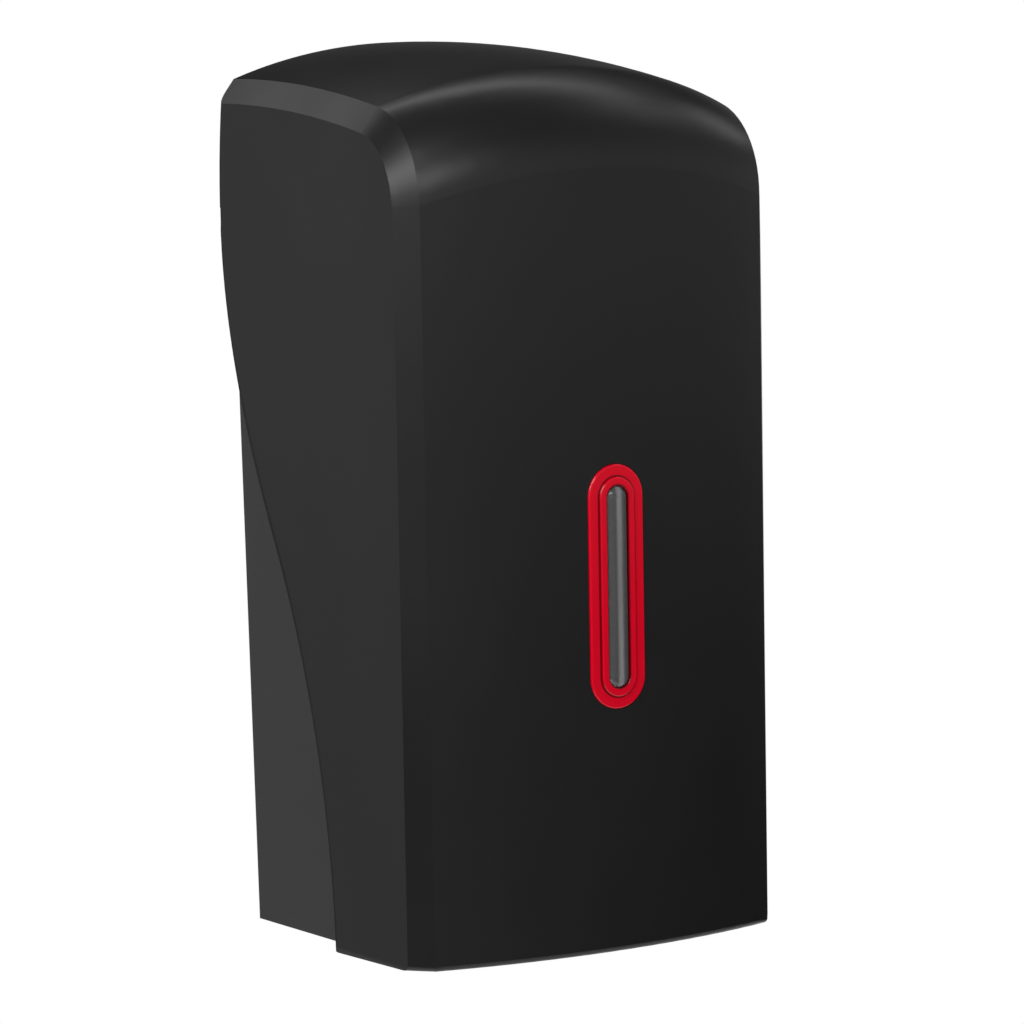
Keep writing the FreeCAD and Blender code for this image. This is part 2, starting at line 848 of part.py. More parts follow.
def add_hinge_boss(body, side):
    """Boss with a blind pin hole and a stop arm on the inner face of one side of the cover."""
    tag = "right" if side > 0 else "left"
    face = S.housing_width / 2 + S.hinge_washer_gap + S.hinge_washer_thickness
    wall = cover_width() / 2 - S.cover_wall
    y, z = -hinge_depth(), S.hinge_height
    boss = new_sketch(body, f"hinge_boss_{tag}", "YZ_Plane", face * side)
    draw_circle(boss, y, z, S.hinge_boss_diameter)
    pad(body, boss, wall - face + rooting(), reverse=side < 0)
    angle = S.stop_arm_angle
    along = (-sine(angle), cosine(angle))
    over = (cosine(angle), sine(angle))
    half = S.stop_arm_width / 2
    short, long = S.hinge_boss_diameter / 4, S.stop_arm_length
    arm = new_sketch(body, f"stop_arm_{tag}", "YZ_Plane", face * side)
    corners = []
    for reach, shift in ((short, -1), (long, -1), (long, 1), (short, 1)):
        corners.append((y + along[0] * reach + over[0] * half * shift,
                        z + along[1] * reach + over[1] * half * shift))
    draw_outline(arm, corners)
    pad(body, arm, wall - face + rooting(), reverse=side < 0)
    hole = new_sketch(body, f"pin_hole_{tag}", "YZ_Plane", face * side)
    draw_circle(hole, y, z, S.hinge_pin_diameter + S.hinge_pin_fit * 2)
    pocket(body, hole, S.hinge_pin_seat + S.hinge_pin_end_gap, reverse=side > 0)


def add_closing_ribs(body):
    """Two ribs under the roof that meet the front edge of the housing's top when the cover is shut."""
    inset = S.cover_wall / 2
    first = S.arm_depth + S.closing_gap
    last = first + S.closing_rib_length
    low = S.housing_height - S.closing_rib_overlap
    half = S.closing_rib_spacing / 2
    ribs = new_sketch(body, "closing_ribs", "YZ_Plane", half - S.closing_rib_thickness / 2)
    corners = [
        (-first, low),
        (-first, roof_height(half, first, inset)),
        (-last, roof_height(half, last, inset)),
        (-(first + S.closing_rib_foot), low),
    ]
    draw_outline(ribs, corners)
    pad(body, ribs, S.closing_rib_thickness)
    other = new_sketch(body, "closing_ribs_left", "YZ_Plane", -(half + S.closing_rib_thickness / 2))
    draw_outline(other, corners)
    pad(body, other, S.closing_rib_thickness)


def make_back_housing():
    """The part on the wall: back, shelf, two side arms and front lip, in one moulding."""
    body = new_body("back_housing")
    outline = new_sketch(body, "side_outline", "YZ_Plane")
    draw_outline(outline, [
        (0, 0),
        (0, S.housing_height),
        (-S.arm_depth, S.housing_height),
        (-S.arm_depth, S.shoulder_height, -S.shoulder_radius),
        (-S.housing_depth, S.lip_height),
        (-S.housing_depth, 0),
    ])
    pad(body, outline, S.housing_width, symmetric=True)
    wall, past, sink = S.housing_wall, overrun(), rooting()
    inner = new_sketch(body, "magazine", "YZ_Plane")
    draw_outline(inner, [
        (-S.back_thickness, S.shelf_thickness),
        (-S.back_thickness, S.housing_height - wall),
        (-(S.housing_depth + past), S.housing_height - wall),
        (-(S.housing_depth + past), S.lip_height + S.lip_bevel_height),
        (-(S.housing_depth - wall), S.lip_height + S.lip_bevel_height),
        (-(S.housing_depth - wall), S.shelf_thickness),
    ])
    pocket(body, inner, S.housing_width - wall * 2, symmetric=True)

    notch = new_sketch(body, "thumb_notch", "XZ_Plane", S.housing_depth - wall - past)
    half = S.thumb_notch_width / 2
    low = S.lip_height - S.thumb_notch_depth
    bend = S.thumb_notch_corner
    draw_outline(notch, [
        (-half, S.lip_height + past),
        (-half, low + bend, bend),
        (-(half - bend), low),
        (half - bend, low, bend),
        (half, low + bend),
        (half, S.lip_height + past),
    ])
    pocket(body, notch, wall + past * 2, reverse=True)

    hole = new_sketch(body, "throat_hole", "XY_Plane", S.shelf_thickness + past)
    grow = (S.throat_wall + S.throat_fit) * 2
    draw_obround(hole, 0, -S.throat_centre_depth, S.throat_opening_length + grow,
                 S.throat_opening_width + grow)
    pocket(body, hole, S.shelf_thickness + past * 2)

    centres = [(S.fixing_spacing_across / 2 * sx, S.fixing_centre_height + S.fixing_spacing_up / 2 * sz)
               for sx in (-1, 1) for sz in (-1, 1)]
    border = S.fixing_pad_border * 2
    pads = new_sketch(body, "fixing_pads", "XZ_Plane", S.back_thickness - sink)
    for x, z in centres:
        draw_obround(pads, x, z, S.fixing_slot_length + border, S.fixing_slot_width + border)
    pad(body, pads, S.fixing_pad_height + sink)
    slots = new_sketch(body, "fixing_slots", "XZ_Plane", -past)
    for x, z in centres:
        draw_obround(slots, x, z, S.fixing_slot_length, S.fixing_slot_width)
    pocket(body, slots, S.back_thickness + S.fixing_pad_height + past * 2, reverse=True)

    ribs = new_sketch(body, "back_ribs", "XZ_Plane", S.back_thickness - sink)
    low = S.shelf_thickness + S.rib_end_gap
    high = S.housing_height - wall - S.rib_end_gap
    for sign in (-1, 1):
        x = S.rib_spacing / 2 * sign
        draw_box(ribs, x - S.rib_thickness / 2, low, x + S.rib_thickness / 2, high)
    pad(body, ribs, S.rib_height + sink)

    inner_half = S.housing_width / 2 - wall
    for side in (1, -1):
        tag = "right" if side > 0 else "left"
        rails = new_sketch(body, f"rails_{tag}", "YZ_Plane", (inner_half - S.rail_height) * side)
        front_rail = hinge_depth() - S.bush_flange_diameter / 2 - S.rail_bush_gap - S.rail_thickness
        for y, top in ((-S.rail_rear_depth, S.rail_rear_top), (-front_rail, S.rail_front_top)):
            draw_outline(rails, [
                (y, S.shelf_thickness - sink),
                (y, top - S.rail_top_bevel),
                (y - S.rail_thickness, top),
                (y - S.rail_thickness, S.shelf_thickness - sink),
            ])
        pad(body, rails, S.rail_height + sink, reverse=side < 0)

    bore = new_sketch(body, "hinge_bores", "YZ_Plane")
    draw_circle(bore, -hinge_depth(), S.hinge_height, S.bush_outer_diameter)
    pocket(body, bore, S.housing_width + past * 2, symmetric=True)

    add_lock_passage(body, inner_half)

    for side in (1, -1):
        tag = "right" if side > 0 else "left"
        peg = new_sketch(body, f"stop_peg_{tag}", "YZ_Plane", (S.housing_width / 2 - sink) * side)
        turn = S.stop_arm_angle + S.cover_opening + stop_spread() + S.stop_margin
        draw_circle(peg, -(hinge_depth() + S.stop_radius * sine(turn)),
                    S.hinge_height + S.stop_radius * cosine(turn), S.stop_peg_diameter)
        pad(body, peg, S.hinge_washer_gap + S.hinge_washer_thickness + S.stop_peg_reach + sink,
            reverse=side < 0)

    holes = new_sketch(body, "keeper_pilots", "YZ_Plane", inner_half - past)
    for y, z in keeper_screw_points():
        draw_circle(holes, y, z, S.keeper_screw_diameter + S.screw_fit * 2)
    depth = S.keeper_screw_length - S.keeper_thickness + S.screw_end_gap
    pocket(body, holes, depth + past, reverse=True)
    place(body)
    return body


def stop_spread():
    """Angle between a stop arm and a stop peg that touch, in degrees."""
    reach = (S.stop_arm_width + S.stop_peg_diameter) / 2 / S.stop_radius
    return Size(f"(asin({reach.text}) / 1 deg)", math.degrees(math.asin(reach.value)))


def add_lock_passage(body, inner_half):
    """Slot in the right arm along the way the lock barrel takes as the cover opens."""
    y, z = -S.lock_depth, S.lock_height
    lever_y = hinge_depth() - S.lock_depth
    lever_z = S.lock_height - S.hinge_height
    size = root(lever_y * lever_y + lever_z * lever_z)
    along = (-(lever_z / size), lever_y / size)
    over = (-along[1], along[0])
    half = S.barrel_diameter / 2 + S.lock_slot_clearance
    long = S.arm_depth - S.lock_depth + overrun() * 2
    slot = new_sketch(body, "lock_passage", "YZ_Plane", inner_half - overrun())
    draw_outline(slot, [
        (y + over[0] * half, z + over[1] * half),
        (y + over[0] * half + along[0] * long, z + over[1] * half + along[1] * long),
        (y - over[0] * half + along[0] * long, z - over[1] * half + along[1] * long),
        (y - over[0] * half, z - over[1] * half, -half * ROUND_END),
    ])
    pocket(body, slot, S.housing_wall + overrun() * 2, reverse=True)


def keeper_screw_points():
    """Depth and height of the keeper's two screws."""
    front = S.lock_depth + S.cam_width / 2 + S.keeper_gap
    z = S.lock_height + S.keeper_low_offset + S.keeper_height / 2
    first = front - S.keeper_screw_first
    return [(-first, z), (-(first - S.keeper_screw_spacing), z)]


def make_throat_insert():
    """Smooth mouth through which the tissues are pulled, snapped into the shelf."""
    body = new_body("throat_insert")
    wall = S.throat_wall * 2
    border = S.throat_flange_border * 2
    length, width = S.throat_opening_length, S.throat_opening_width
    flange = new_sketch(body, "flange", "XY_Plane", 0)
    draw_obround(flange, 0, 0, length + wall + border, width + wall + border)
    pad(body, flange, S.throat_flange_thickness)
    below = S.shelf_thickness + S.throat_below_shelf
    neck = new_sketch(body, "neck", "XY_Plane", 0)
    draw_obround(neck, 0, 0, length + wall, width + wall)
    pad(body, neck, below, reverse=True)
    reach = S.throat_hook_reach
    hooks = new_sketch(body, "hooks", "XZ_Plane")
    outer = (length + wall) / 2
    top = -(S.shelf_thickness + S.throat_hook_gap)
    for sign in (-1, 1):
        x = outer * sign
        inner = (outer - rooting()) * sign
        tip = (outer + reach) * sign
        points = [(inner, top), (tip, top), (x, -below), (inner, -below)]
        draw_outline(hooks, points)
    pad(body, hooks, S.throat_hook_width, symmetric=True)
    opening = new_sketch(body, "opening", "XY_Plane", S.throat_flange_thickness + overrun())
    draw_obround(opening, 0, 0, length, width)
    cut = pocket(body, opening, below + S.throat_flange_thickness + overrun() * 2)

    def mouth(edge):
        return is_level_edge(edge, S.throat_flange_thickness.value, length.value / 2, width.value / 2)

    dress(body, "PartDesign::Fillet", cut, edge_names(cut.Shape, mouth), "Radius",
          S.throat_mouth_radius)
    place(body, 0, -S.throat_centre_depth, S.shelf_thickness)
    return body


def make_hinge_parts():
    """Bush, pin and washer for each side; the local Z axis points outwards from the housing."""
    bore = S.hinge_pin_diameter / 2
    play = S.running_clearance
    bevel = S.hinge_pin_chamfer
    face = S.hinge_washer_gap + S.hinge_washer_thickness
    wall = S.housing_wall
    flange = S.bush_flange_thickness
    pieces = []
    for tag, turn, side in (("left", -90, -1), ("right", 90, 1)):
        bush = new_body(f"hinge_bush_{tag}")
        revolve(bush, "bush_half", [
            (bore + play, -(wall + flange)),
            (S.bush_flange_diameter / 2, -(wall + flange)),
            (S.bush_flange_diameter / 2, -wall),
            (S.bush_outer_diameter / 2, -wall),
            (S.bush_outer_diameter / 2, 0),
            (bore + play, 0),
        ])
        pin = new_body(f"hinge_pin_{tag}")
        neck = wall + flange + S.hinge_pin_head_gap
        head = S.hinge_pin_head_thickness
        revolve(pin, "pin_half", [
            (0, -(neck + head)),
            (S.hinge_pin_head_diameter / 2 - bevel, -(neck + head)),
            (S.hinge_pin_head_diameter / 2, -(neck + head - bevel)),
            (S.hinge_pin_head_diameter / 2, -neck),
            (bore, -neck),
            (bore, face + S.hinge_pin_seat - bevel),
            (bore - bevel, face + S.hinge_pin_seat),
            (0, face + S.hinge_pin_seat),
        ])
        washer = new_body(f"hinge_washer_{tag}")
        revolve(washer, "washer_half", [
            (bore + S.washer_clearance, S.hinge_washer_gap),
            (S.hinge_washer_diameter / 2, S.hinge_washer_gap),
            (S.hinge_washer_diameter / 2, face),
            (bore + S.washer_clearance, face),
        ])
        for piece in (bush, pin, washer):
            place(piece, S.housing_width / 2 * side, -hinge_depth(), S.hinge_height,
                  Vector(0, 1, 0), turn)
            pieces.append(piece)
    return pieces


def place_on_window(body):
    """Set a window piece on the cover's face, its own Z axis pointing outwards."""
    lean = S.front_lean
    place(body, 0, -crest_depth(S.window_height), S.window_height, Vector(1, 0, 0), lean + 90)


def make_window_bezel():
    """Frame around the level window: flange, raised ring and a collar through the cover."""
    body = new_body("window_bezel")
    low = S.bezel_recess_depth
    past, sink = overrun(), rooting()
    top = S.bezel_flange_thickness - low
    flange = new_sketch(body, "flange", "XY_Plane", -low)
    draw_obround(flange, 0, 0, *flange_outline(), upright=True)
    made = pad(body, flange, S.bezel_flange_thickness)
    names = edge_names(made.Shape, lambda edge: near(edge.BoundBox.ZMin, top.value))
    dress(body, "PartDesign::Fillet", made, names, "Radius", S.bezel_edge_radius)
    ring = new_sketch(body, "ring", "XY_Plane", top - sink)
    draw_obround(ring, 0, 0, *ring_outline(), upright=True)
    made = pad(body, ring, S.bezel_ring_height + sink)
    crest = top + S.bezel_ring_height
    names = edge_names(made.Shape, lambda edge: near(edge.BoundBox.ZMin, crest.value))
    dress(body, "PartDesign::Fillet", made, names, "Radius", S.bezel_edge_radius)
    collar = new_sketch(body, "collar", "XY_Plane", -S.window_pad_depth)
    draw_obround(collar, 0, 0, *collar_outline(), upright=True)
    pad(body, collar, S.window_pad_depth - low + sink)
    opening = new_sketch(body, "opening", "XY_Plane", crest + past)
    draw_obround(opening, 0, 0, S.bezel_opening_length, S.bezel_opening_width, upright=True)
    made = pocket(body, opening, crest + S.window_pad_depth + past * 2)

    def inner_edge(edge):
        return is_level_edge(edge, crest.value, S.bezel_opening_width.value / 2,
                             S.bezel_opening_length.value / 2)

    dress(body, "PartDesign::Fillet", made, edge_names(made.Shape, inner_edge), "Radius",
          S.bezel_inner_radius)
    seat = new_sketch(body, "lens_seat", "XY_Plane", -(S.window_pad_depth + past))
    grow = (S.lens_flange_border + S.lens_clearance) * 2
    draw_obround(seat, 0, 0, lens_length() + grow, lens_width() + grow, upright=True)
    pocket(body, seat, S.lens_flange_thickness + S.lens_clearance + past, reverse=True)
    pilots = new_sketch(body, "pilots", "XY_Plane", -(S.window_pad_depth + past))
    for sign in (-1, 1):
        draw_circle(pilots, 0, window_screw_spacing() / 2 * sign,
                    S.window_screw_diameter + S.screw_fit * 2)
    depth = S.window_screw_length - S.retainer_thickness + S.screw_end_gap
    pocket(body, pilots, depth + past, reverse=True)
    place_on_window(body)
    return body


def lens_length():
    """Length of the clear part of the lens."""
    return S.bezel_opening_length - S.lens_clearance * 2


def lens_width():
    """Width of the clear part of the lens."""
    return S.bezel_opening_width - S.lens_clearance * 2


def make_window_lens():
    """Clear domed lens with a flange behind the bezel."""
    body = new_body("window_lens")
    low = S.window_pad_depth - S.lens_clearance
    border = S.lens_flange_border * 2
    flange = new_sketch(body, "flange", "XY_Plane", -low)
    draw_obround(flange, 0, 0, lens_length() + border, lens_width() + border, upright=True)
    pad(body, flange, S.lens_flange_thickness)
    crest = S.bezel_flange_thickness - S.bezel_recess_depth + S.bezel_ring_height + S.lens_rise
    root_depth = low - rooting()
    pill = new_sketch(body, "pill", "XY_Plane", -root_depth)
    draw_obround(pill, 0, 0, lens_length(), lens_width(), upright=True)
    made = pad(body, pill, root_depth + crest)
    names = edge_names(made.Shape, lambda edge: near(edge.BoundBox.ZMin, crest.value))
    dress(body, "PartDesign::Fillet", made, names, "Radius", S.lens_dome_radius)
    place_on_window(body)
    return body


def make_lens_retainer():
    """Plate behind the cover that holds bezel and lens."""
    body = new_body("lens_retainer")
    outer = (size + S.retainer_border * 2 for size in collar_outline())
    plate = new_sketch(body, "plate", "XY_Plane", -S.window_pad_depth)
    draw_obround(plate, 0, 0, *outer, upright=True)
    draw_obround(plate, 0, 0, *window_outline(-S.retainer_overlap, -S.retainer_end_overlap), upright=True)
    for sign in (-1, 1):
        draw_circle(plate, 0, window_screw_spacing() / 2 * sign,
                    S.window_screw_diameter + S.screw_fit * 2)
    pad(body, plate, S.retainer_thickness, reverse=True)
    place_on_window(body)
    return body


def add_screw(body, name, x, y, sizes):
    """A pan head screw with a cross recess, its shank along +Z from the seat at height z."""
    z, diameter, length, head_diameter, head_height = sizes
    past, sink = overrun(), rooting()
    head = new_sketch(body, f"{name}_head", "XY_Plane", z)
    draw_circle(head, x, y, head_diameter)
    pad(body, head, head_height, reverse=True)
    shank = new_sketch(body, f"{name}_shank", "XY_Plane", z - sink)
    draw_circle(shank, x, y, diameter)
    pad(body, shank, length + sink)
    cross = new_sketch(body, f"{name}_cross", "XY_Plane", z - head_height - past)
    arm = head_diameter * S.cross_arm_share
    half = head_diameter * S.cross_width_share / 2
    x, y = as_size(x), as_size(y)
    draw_outline(cross, [
        (x - arm, y - half), (x - half, y - half), (x - half, y - arm), (x + half, y - arm),
        (x + half, y - half), (x + arm, y - half), (x + arm, y + half), (x + half, y + half),
        (x + half, y + arm), (x - half, y + arm), (x - half, y + half), (x - arm, y + half),
    ])
    pocket(body, cross, head_height * S.cross_depth_share + past, reverse=True)


def make_retainer_screws():
    """The two screws that clamp the retainer to the bezel's collar."""
    screws = []
    for name, sign in (("upper", 1), ("lower", -1)):
        body = new_body(f"retainer_screw_{name}")
        sizes = (-(S.window_pad_depth + S.retainer_thickness), S.window_screw_diameter,
                 S.window_screw_length, S.window_screw_head_diameter, S.window_screw_head_height)
        add_screw(body, name, 0, window_screw_spacing() / 2 * sign, sizes)
        screws.append(body)
    pair = DOC.addObject("Part::Compound", "retainer_screws")
    pair.Label = "retainer_screws"
    pair.Links = screws
    DOC.recompute()
    place_on_window(pair)
    return pair


def place_on_lock(body):
    """Set a lock piece on the right side of the cover, its own Z axis pointing outwards."""
    place(body, cover_width() / 2, -S.lock_depth, S.lock_height, Vector(0, 1, 0), 90)


def barrel_length():
    """Length of the barrel behind its flange, through cover and housing and on into the casing."""
    return S.cover_wall + S.cover_side_gap + S.housing_wall + S.barrel_inside_reach


def plug_head_radius():
    """Radius of the plug's head in the counterbore of the barrel."""
    return S.plug_diameter / 2 + S.plug_head_step


def plug_end():
    """Distance from the cover's side to the rear face of the barrel's plug."""
    return barrel_length() + S.plug_end_play


def make_lock_parts():
    """Barrel and nut on the cover; plug, cam, washer and screw that turn together."""
    past, play = overrun(), S.running_clearance
    barrel = new_body("lock_barrel")
    bore = S.plug_diameter / 2 + play
    counter = plug_head_radius() + play
    face = S.barrel_flange_thickness
    step = face - S.plug_head_thickness
    floor = step - play * 2
    revolve(barrel, "barrel_half", [
        (bore, -barrel_length()),
        (S.barrel_diameter / 2, -barrel_length()),
        (S.barrel_diameter / 2, 0),
        (S.barrel_flange_diameter / 2, 0),
        (S.barrel_flange_diameter / 2, face - S.barrel_flange_chamfer),
        (S.barrel_flange_diameter / 2 - S.barrel_flange_chamfer, face),
        (counter, face),
        (counter, floor),
        (bore, floor),
    ])
    flats = new_sketch(barrel, "flats", "XY_Plane", 0)
    half = (S.barrel_diameter / 2 - S.barrel_flat_depth)
    wide = S.barrel_diameter
    draw_box(flats, half, -wide, wide, wide)
    draw_box(flats, -wide, -wide, -half, wide)
    pocket(barrel, flats, barrel_length() + past)

    nut = new_body("lock_nut")
    hexagon = new_sketch(nut, "hexagon", "XY_Plane", -S.cover_wall)
    corner = S.nut_across_flats / root(as_size(3))
    flat = S.nut_across_flats / 2
    draw_outline(hexagon, [
        (corner, 0), (corner / 2, flat), (-corner / 2, flat),
        (-corner, 0), (-corner / 2, -flat), (corner / 2, -flat),
    ])
    draw_circle(hexagon, 0, 0, S.barrel_diameter + play * 2)
    pad(nut, hexagon, S.nut_thickness, reverse=True)

    plug = new_body("lock_plug")
    rear = plug_end()
    revolve(plug, "plug_half", [
        (0, -rear),
        (S.plug_diameter / 2, -rear),
        (S.plug_diameter / 2, step),
        (plug_head_radius(), step),
        (plug_head_radius(), face - S.plug_head_chamfer),
        (plug_head_radius() - S.plug_head_chamfer, face),
        (0, face),
    ])
    square = new_sketch(plug, "square", "XY_Plane", -rear + rooting())
    half = S.plug_square / 2
    draw_box(square, -half, -half, half, half)
    pad(plug, square, S.plug_square_length + rooting(), reverse=True)
    keyway = new_sketch(plug, "keyway", "XY_Plane", face + past)
    width = S.key_slot_width / 2
    long = S.key_slot_length / 2
    draw_box(keyway, -long, -width, long, width)
    pocket(plug, keyway, S.key_slot_depth + past)
    outside = S.plug_square_length + past
    depth = S.cam_screw_length - S.cam_thickness - S.cam_washer_thickness + S.screw_end_gap
    thread = new_sketch(plug, "screw_hole", "XY_Plane", -(rear + outside))
    draw_circle(thread, 0, 0, S.cam_screw_diameter + S.screw_fit * 2)
    pocket(plug, thread, outside + depth, reverse=True)

    cam = new_body("lock_cam")
    blade = new_sketch(cam, "blade", "XY_Plane", -rear)
    hub = S.cam_hub_diameter / 2
    width = S.cam_width / 2
    tip, bevel = S.lock_depth - S.back_thickness - S.cam_back_gap, S.cam_tip_chamfer
    foot = root(hub * hub - width * width)
    draw_outline(blade, [
        (width, foot),
        (width, tip - bevel),
        (width - bevel, tip),
        (-(width - bevel), tip),
        (-width, tip - bevel),
        (-width, foot),
    ])
    pad(cam, blade, S.cam_thickness, reverse=True)
    disc = new_sketch(cam, "hub", "XY_Plane", -rear)
    draw_circle(disc, 0, 0, S.cam_hub_diameter)
    pad(cam, disc, S.cam_thickness, reverse=True)
    hole = new_sketch(cam, "square_hole", "XY_Plane", -(rear - past))
    half = S.plug_square / 2 + S.cam_square_clearance
    draw_box(hole, -half, -half, half, half)
    pocket(cam, hole, S.cam_thickness + past * 2)

    washer = new_body("cam_washer")
    under = rear + S.cam_thickness
    revolve(washer, "washer_half", [
        (S.cam_screw_diameter / 2 + S.washer_clearance, -(under + S.cam_washer_thickness)),
        (S.cam_washer_diameter / 2, -(under + S.cam_washer_thickness)),
        (S.cam_washer_diameter / 2, -under),
        (S.cam_screw_diameter / 2 + S.washer_clearance, -under),
    ])
    screw = new_body("cam_screw")
    sizes = (-(under + S.cam_washer_thickness), S.cam_screw_diameter, S.cam_screw_length,
             S.cam_screw_head_diameter, S.cam_screw_head_height)
    add_screw(screw, "cam", 0, 0, sizes)
    pieces = [barrel, nut, plug, cam, washer, screw]
    for piece in pieces:
        place_on_lock(piece)
    return pieces


def make_keeper():
    """Bent steel plate on the right arm behind which the cam turns, and its two screws."""
    body = new_body("lock_keeper")
    wall_x = S.housing_width / 2 - S.housing_wall
    front = S.lock_depth + S.cam_width / 2 + S.keeper_gap
    thick = S.keeper_thickness
    leg = thick + S.keeper_screw_first + S.keeper_screw_spacing + S.keeper_end_border
    plate = new_sketch(body, "angle", "XY_Plane", S.lock_height + S.keeper_low_offset)
    draw_outline(plate, [
        (wall_x - S.keeper_reach, -(front + thick)),
        (wall_x, -(front + thick)),
        (wall_x, -(front + thick) + leg),
        (wall_x - thick, -(front + thick) + leg),
        (wall_x - thick, -front),
        (wall_x - S.keeper_reach, -front),
    ])
    made = pad(body, plate, S.keeper_height)

    def outer_bend(edge):
        box = edge.BoundBox
        return near(box.XMin, wall_x.value) and near(box.YMin, -(front + thick).value) and \
            near(box.ZLength, S.keeper_height.value)

    dress(body, "PartDesign::Fillet", made, edge_names(made.Shape, outer_bend), "Radius",
          S.keeper_bend_radius)
    holes = new_sketch(body, "screw_holes", "YZ_Plane", wall_x - thick - overrun())
    for y, z in keeper_screw_points():
        draw_circle(holes, y, z, S.keeper_screw_diameter + S.screw_fit * 2)
    pocket(body, holes, thick + overrun() * 2, reverse=True)
    place(body)

    screws = []
    for index, (y, z) in enumerate(keeper_screw_points(), start=1):
        screw = new_body(f"keeper_screw_{index}")
        sizes = (as_size(0), S.keeper_screw_diameter, S.keeper_screw_length,
                 S.keeper_screw_head_diameter, S.keeper_screw_head_height)
        add_screw(screw, f"keeper{index}", -z, y, sizes)
        screws.append(screw)
    pair = DOC.addObject("Part::Compound", "keeper_screws")
    pair.Label = "keeper_screws"
    pair.Links = screws
    DOC.recompute()
    place(pair, wall_x - thick, 0, 0, Vector(0, 1, 0), 90)
    return [body, pair]


def main():
    """Build every piece, check it and write it out."""
    make_sheet()
    pieces = [make_back_housing(), make_throat_insert(), make_front_cover(), make_window_bezel(),
              make_window_lens(), make_lens_retainer(), make_retainer_screws()]
    pieces += make_hinge_parts()
    pieces += make_lock_parts()
    pieces += make_keeper()
    DOC.recompute()
    os.makedirs("parts", exist_ok=True)
    for item in DOC.Objects:
        if "Invalid" in item.State or "Error" in item.State:
            raise RuntimeError(f"{item.Label} failed: {item.State}")
    for piece in pieces:
        shape = piece.Shape
        if shape.isNull() or not shape.isValid() or shape.Volume <= 0:
            raise RuntimeError(f"{piece.Label} has no sound solid")
        shape.exportStep(f"parts/{piece.Label}.step")
        box = shape.optimalBoundingBox()
        centre = shape.CenterOfMass if hasattr(shape, "CenterOfMass") else shape.Solids[0].CenterOfMass
        print(f"{piece.Label:22s} {len(shape.Solids)} solid(s) {shape.Volume:10.1f} mm3 "
              f"X {box.XMin:7.2f} {box.XMax:7.2f} Y {box.YMin:7.2f} {box.YMax:7.2f} "
              f"Z {box.ZMin:7.2f} {box.ZMax:7.2f} centre {centre.y:7.2f} {centre.z:7.2f}")


main()
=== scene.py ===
"""Looks of the wall dispenser for folded toilet tissue: finishes, studio and camera."""

import json
import logging
import math
from dataclasses import dataclass, field
from enum import Enum
from typing import Iterable, Mapping, Sequence

import bpy
from mathutils import Matrix, Vector

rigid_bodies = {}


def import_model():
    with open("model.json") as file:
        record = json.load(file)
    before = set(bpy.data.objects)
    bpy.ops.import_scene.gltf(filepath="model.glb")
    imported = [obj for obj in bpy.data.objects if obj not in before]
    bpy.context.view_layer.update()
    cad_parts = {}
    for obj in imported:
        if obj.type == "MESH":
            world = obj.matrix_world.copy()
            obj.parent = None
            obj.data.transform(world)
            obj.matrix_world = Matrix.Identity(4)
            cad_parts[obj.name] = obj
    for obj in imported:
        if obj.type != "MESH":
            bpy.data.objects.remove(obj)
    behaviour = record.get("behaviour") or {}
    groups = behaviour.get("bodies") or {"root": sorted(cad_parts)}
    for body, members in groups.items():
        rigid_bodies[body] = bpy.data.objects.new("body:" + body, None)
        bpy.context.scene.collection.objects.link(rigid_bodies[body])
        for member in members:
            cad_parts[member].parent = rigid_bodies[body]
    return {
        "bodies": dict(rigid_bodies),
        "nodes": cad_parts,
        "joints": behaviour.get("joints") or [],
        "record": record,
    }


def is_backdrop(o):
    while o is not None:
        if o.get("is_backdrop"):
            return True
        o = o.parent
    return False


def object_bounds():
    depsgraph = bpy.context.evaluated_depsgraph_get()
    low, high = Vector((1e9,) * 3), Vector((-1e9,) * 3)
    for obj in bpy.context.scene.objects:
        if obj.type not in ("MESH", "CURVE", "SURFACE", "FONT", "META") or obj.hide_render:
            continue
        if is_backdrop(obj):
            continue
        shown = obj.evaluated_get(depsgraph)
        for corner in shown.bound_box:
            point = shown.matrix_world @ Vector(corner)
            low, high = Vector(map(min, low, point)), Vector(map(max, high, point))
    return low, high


LOG = logging.getLogger("dispenser")
WHITE = (1.0, 1.0, 1.0)
FULL_TURN = 360.0
NOISE_ROUGHNESS = 0.55
# most of a noise's values lie in this range
NOISE_SPREAD = (0.3, 0.7)
# a noise mapped by this leaves most of a mark and thins it in patches
PATCHY = (0.3, 0.6, 0.6, 1.0)
Colour = tuple[float, float, float]
Box = tuple[Sequence[float], Sequence[float]]


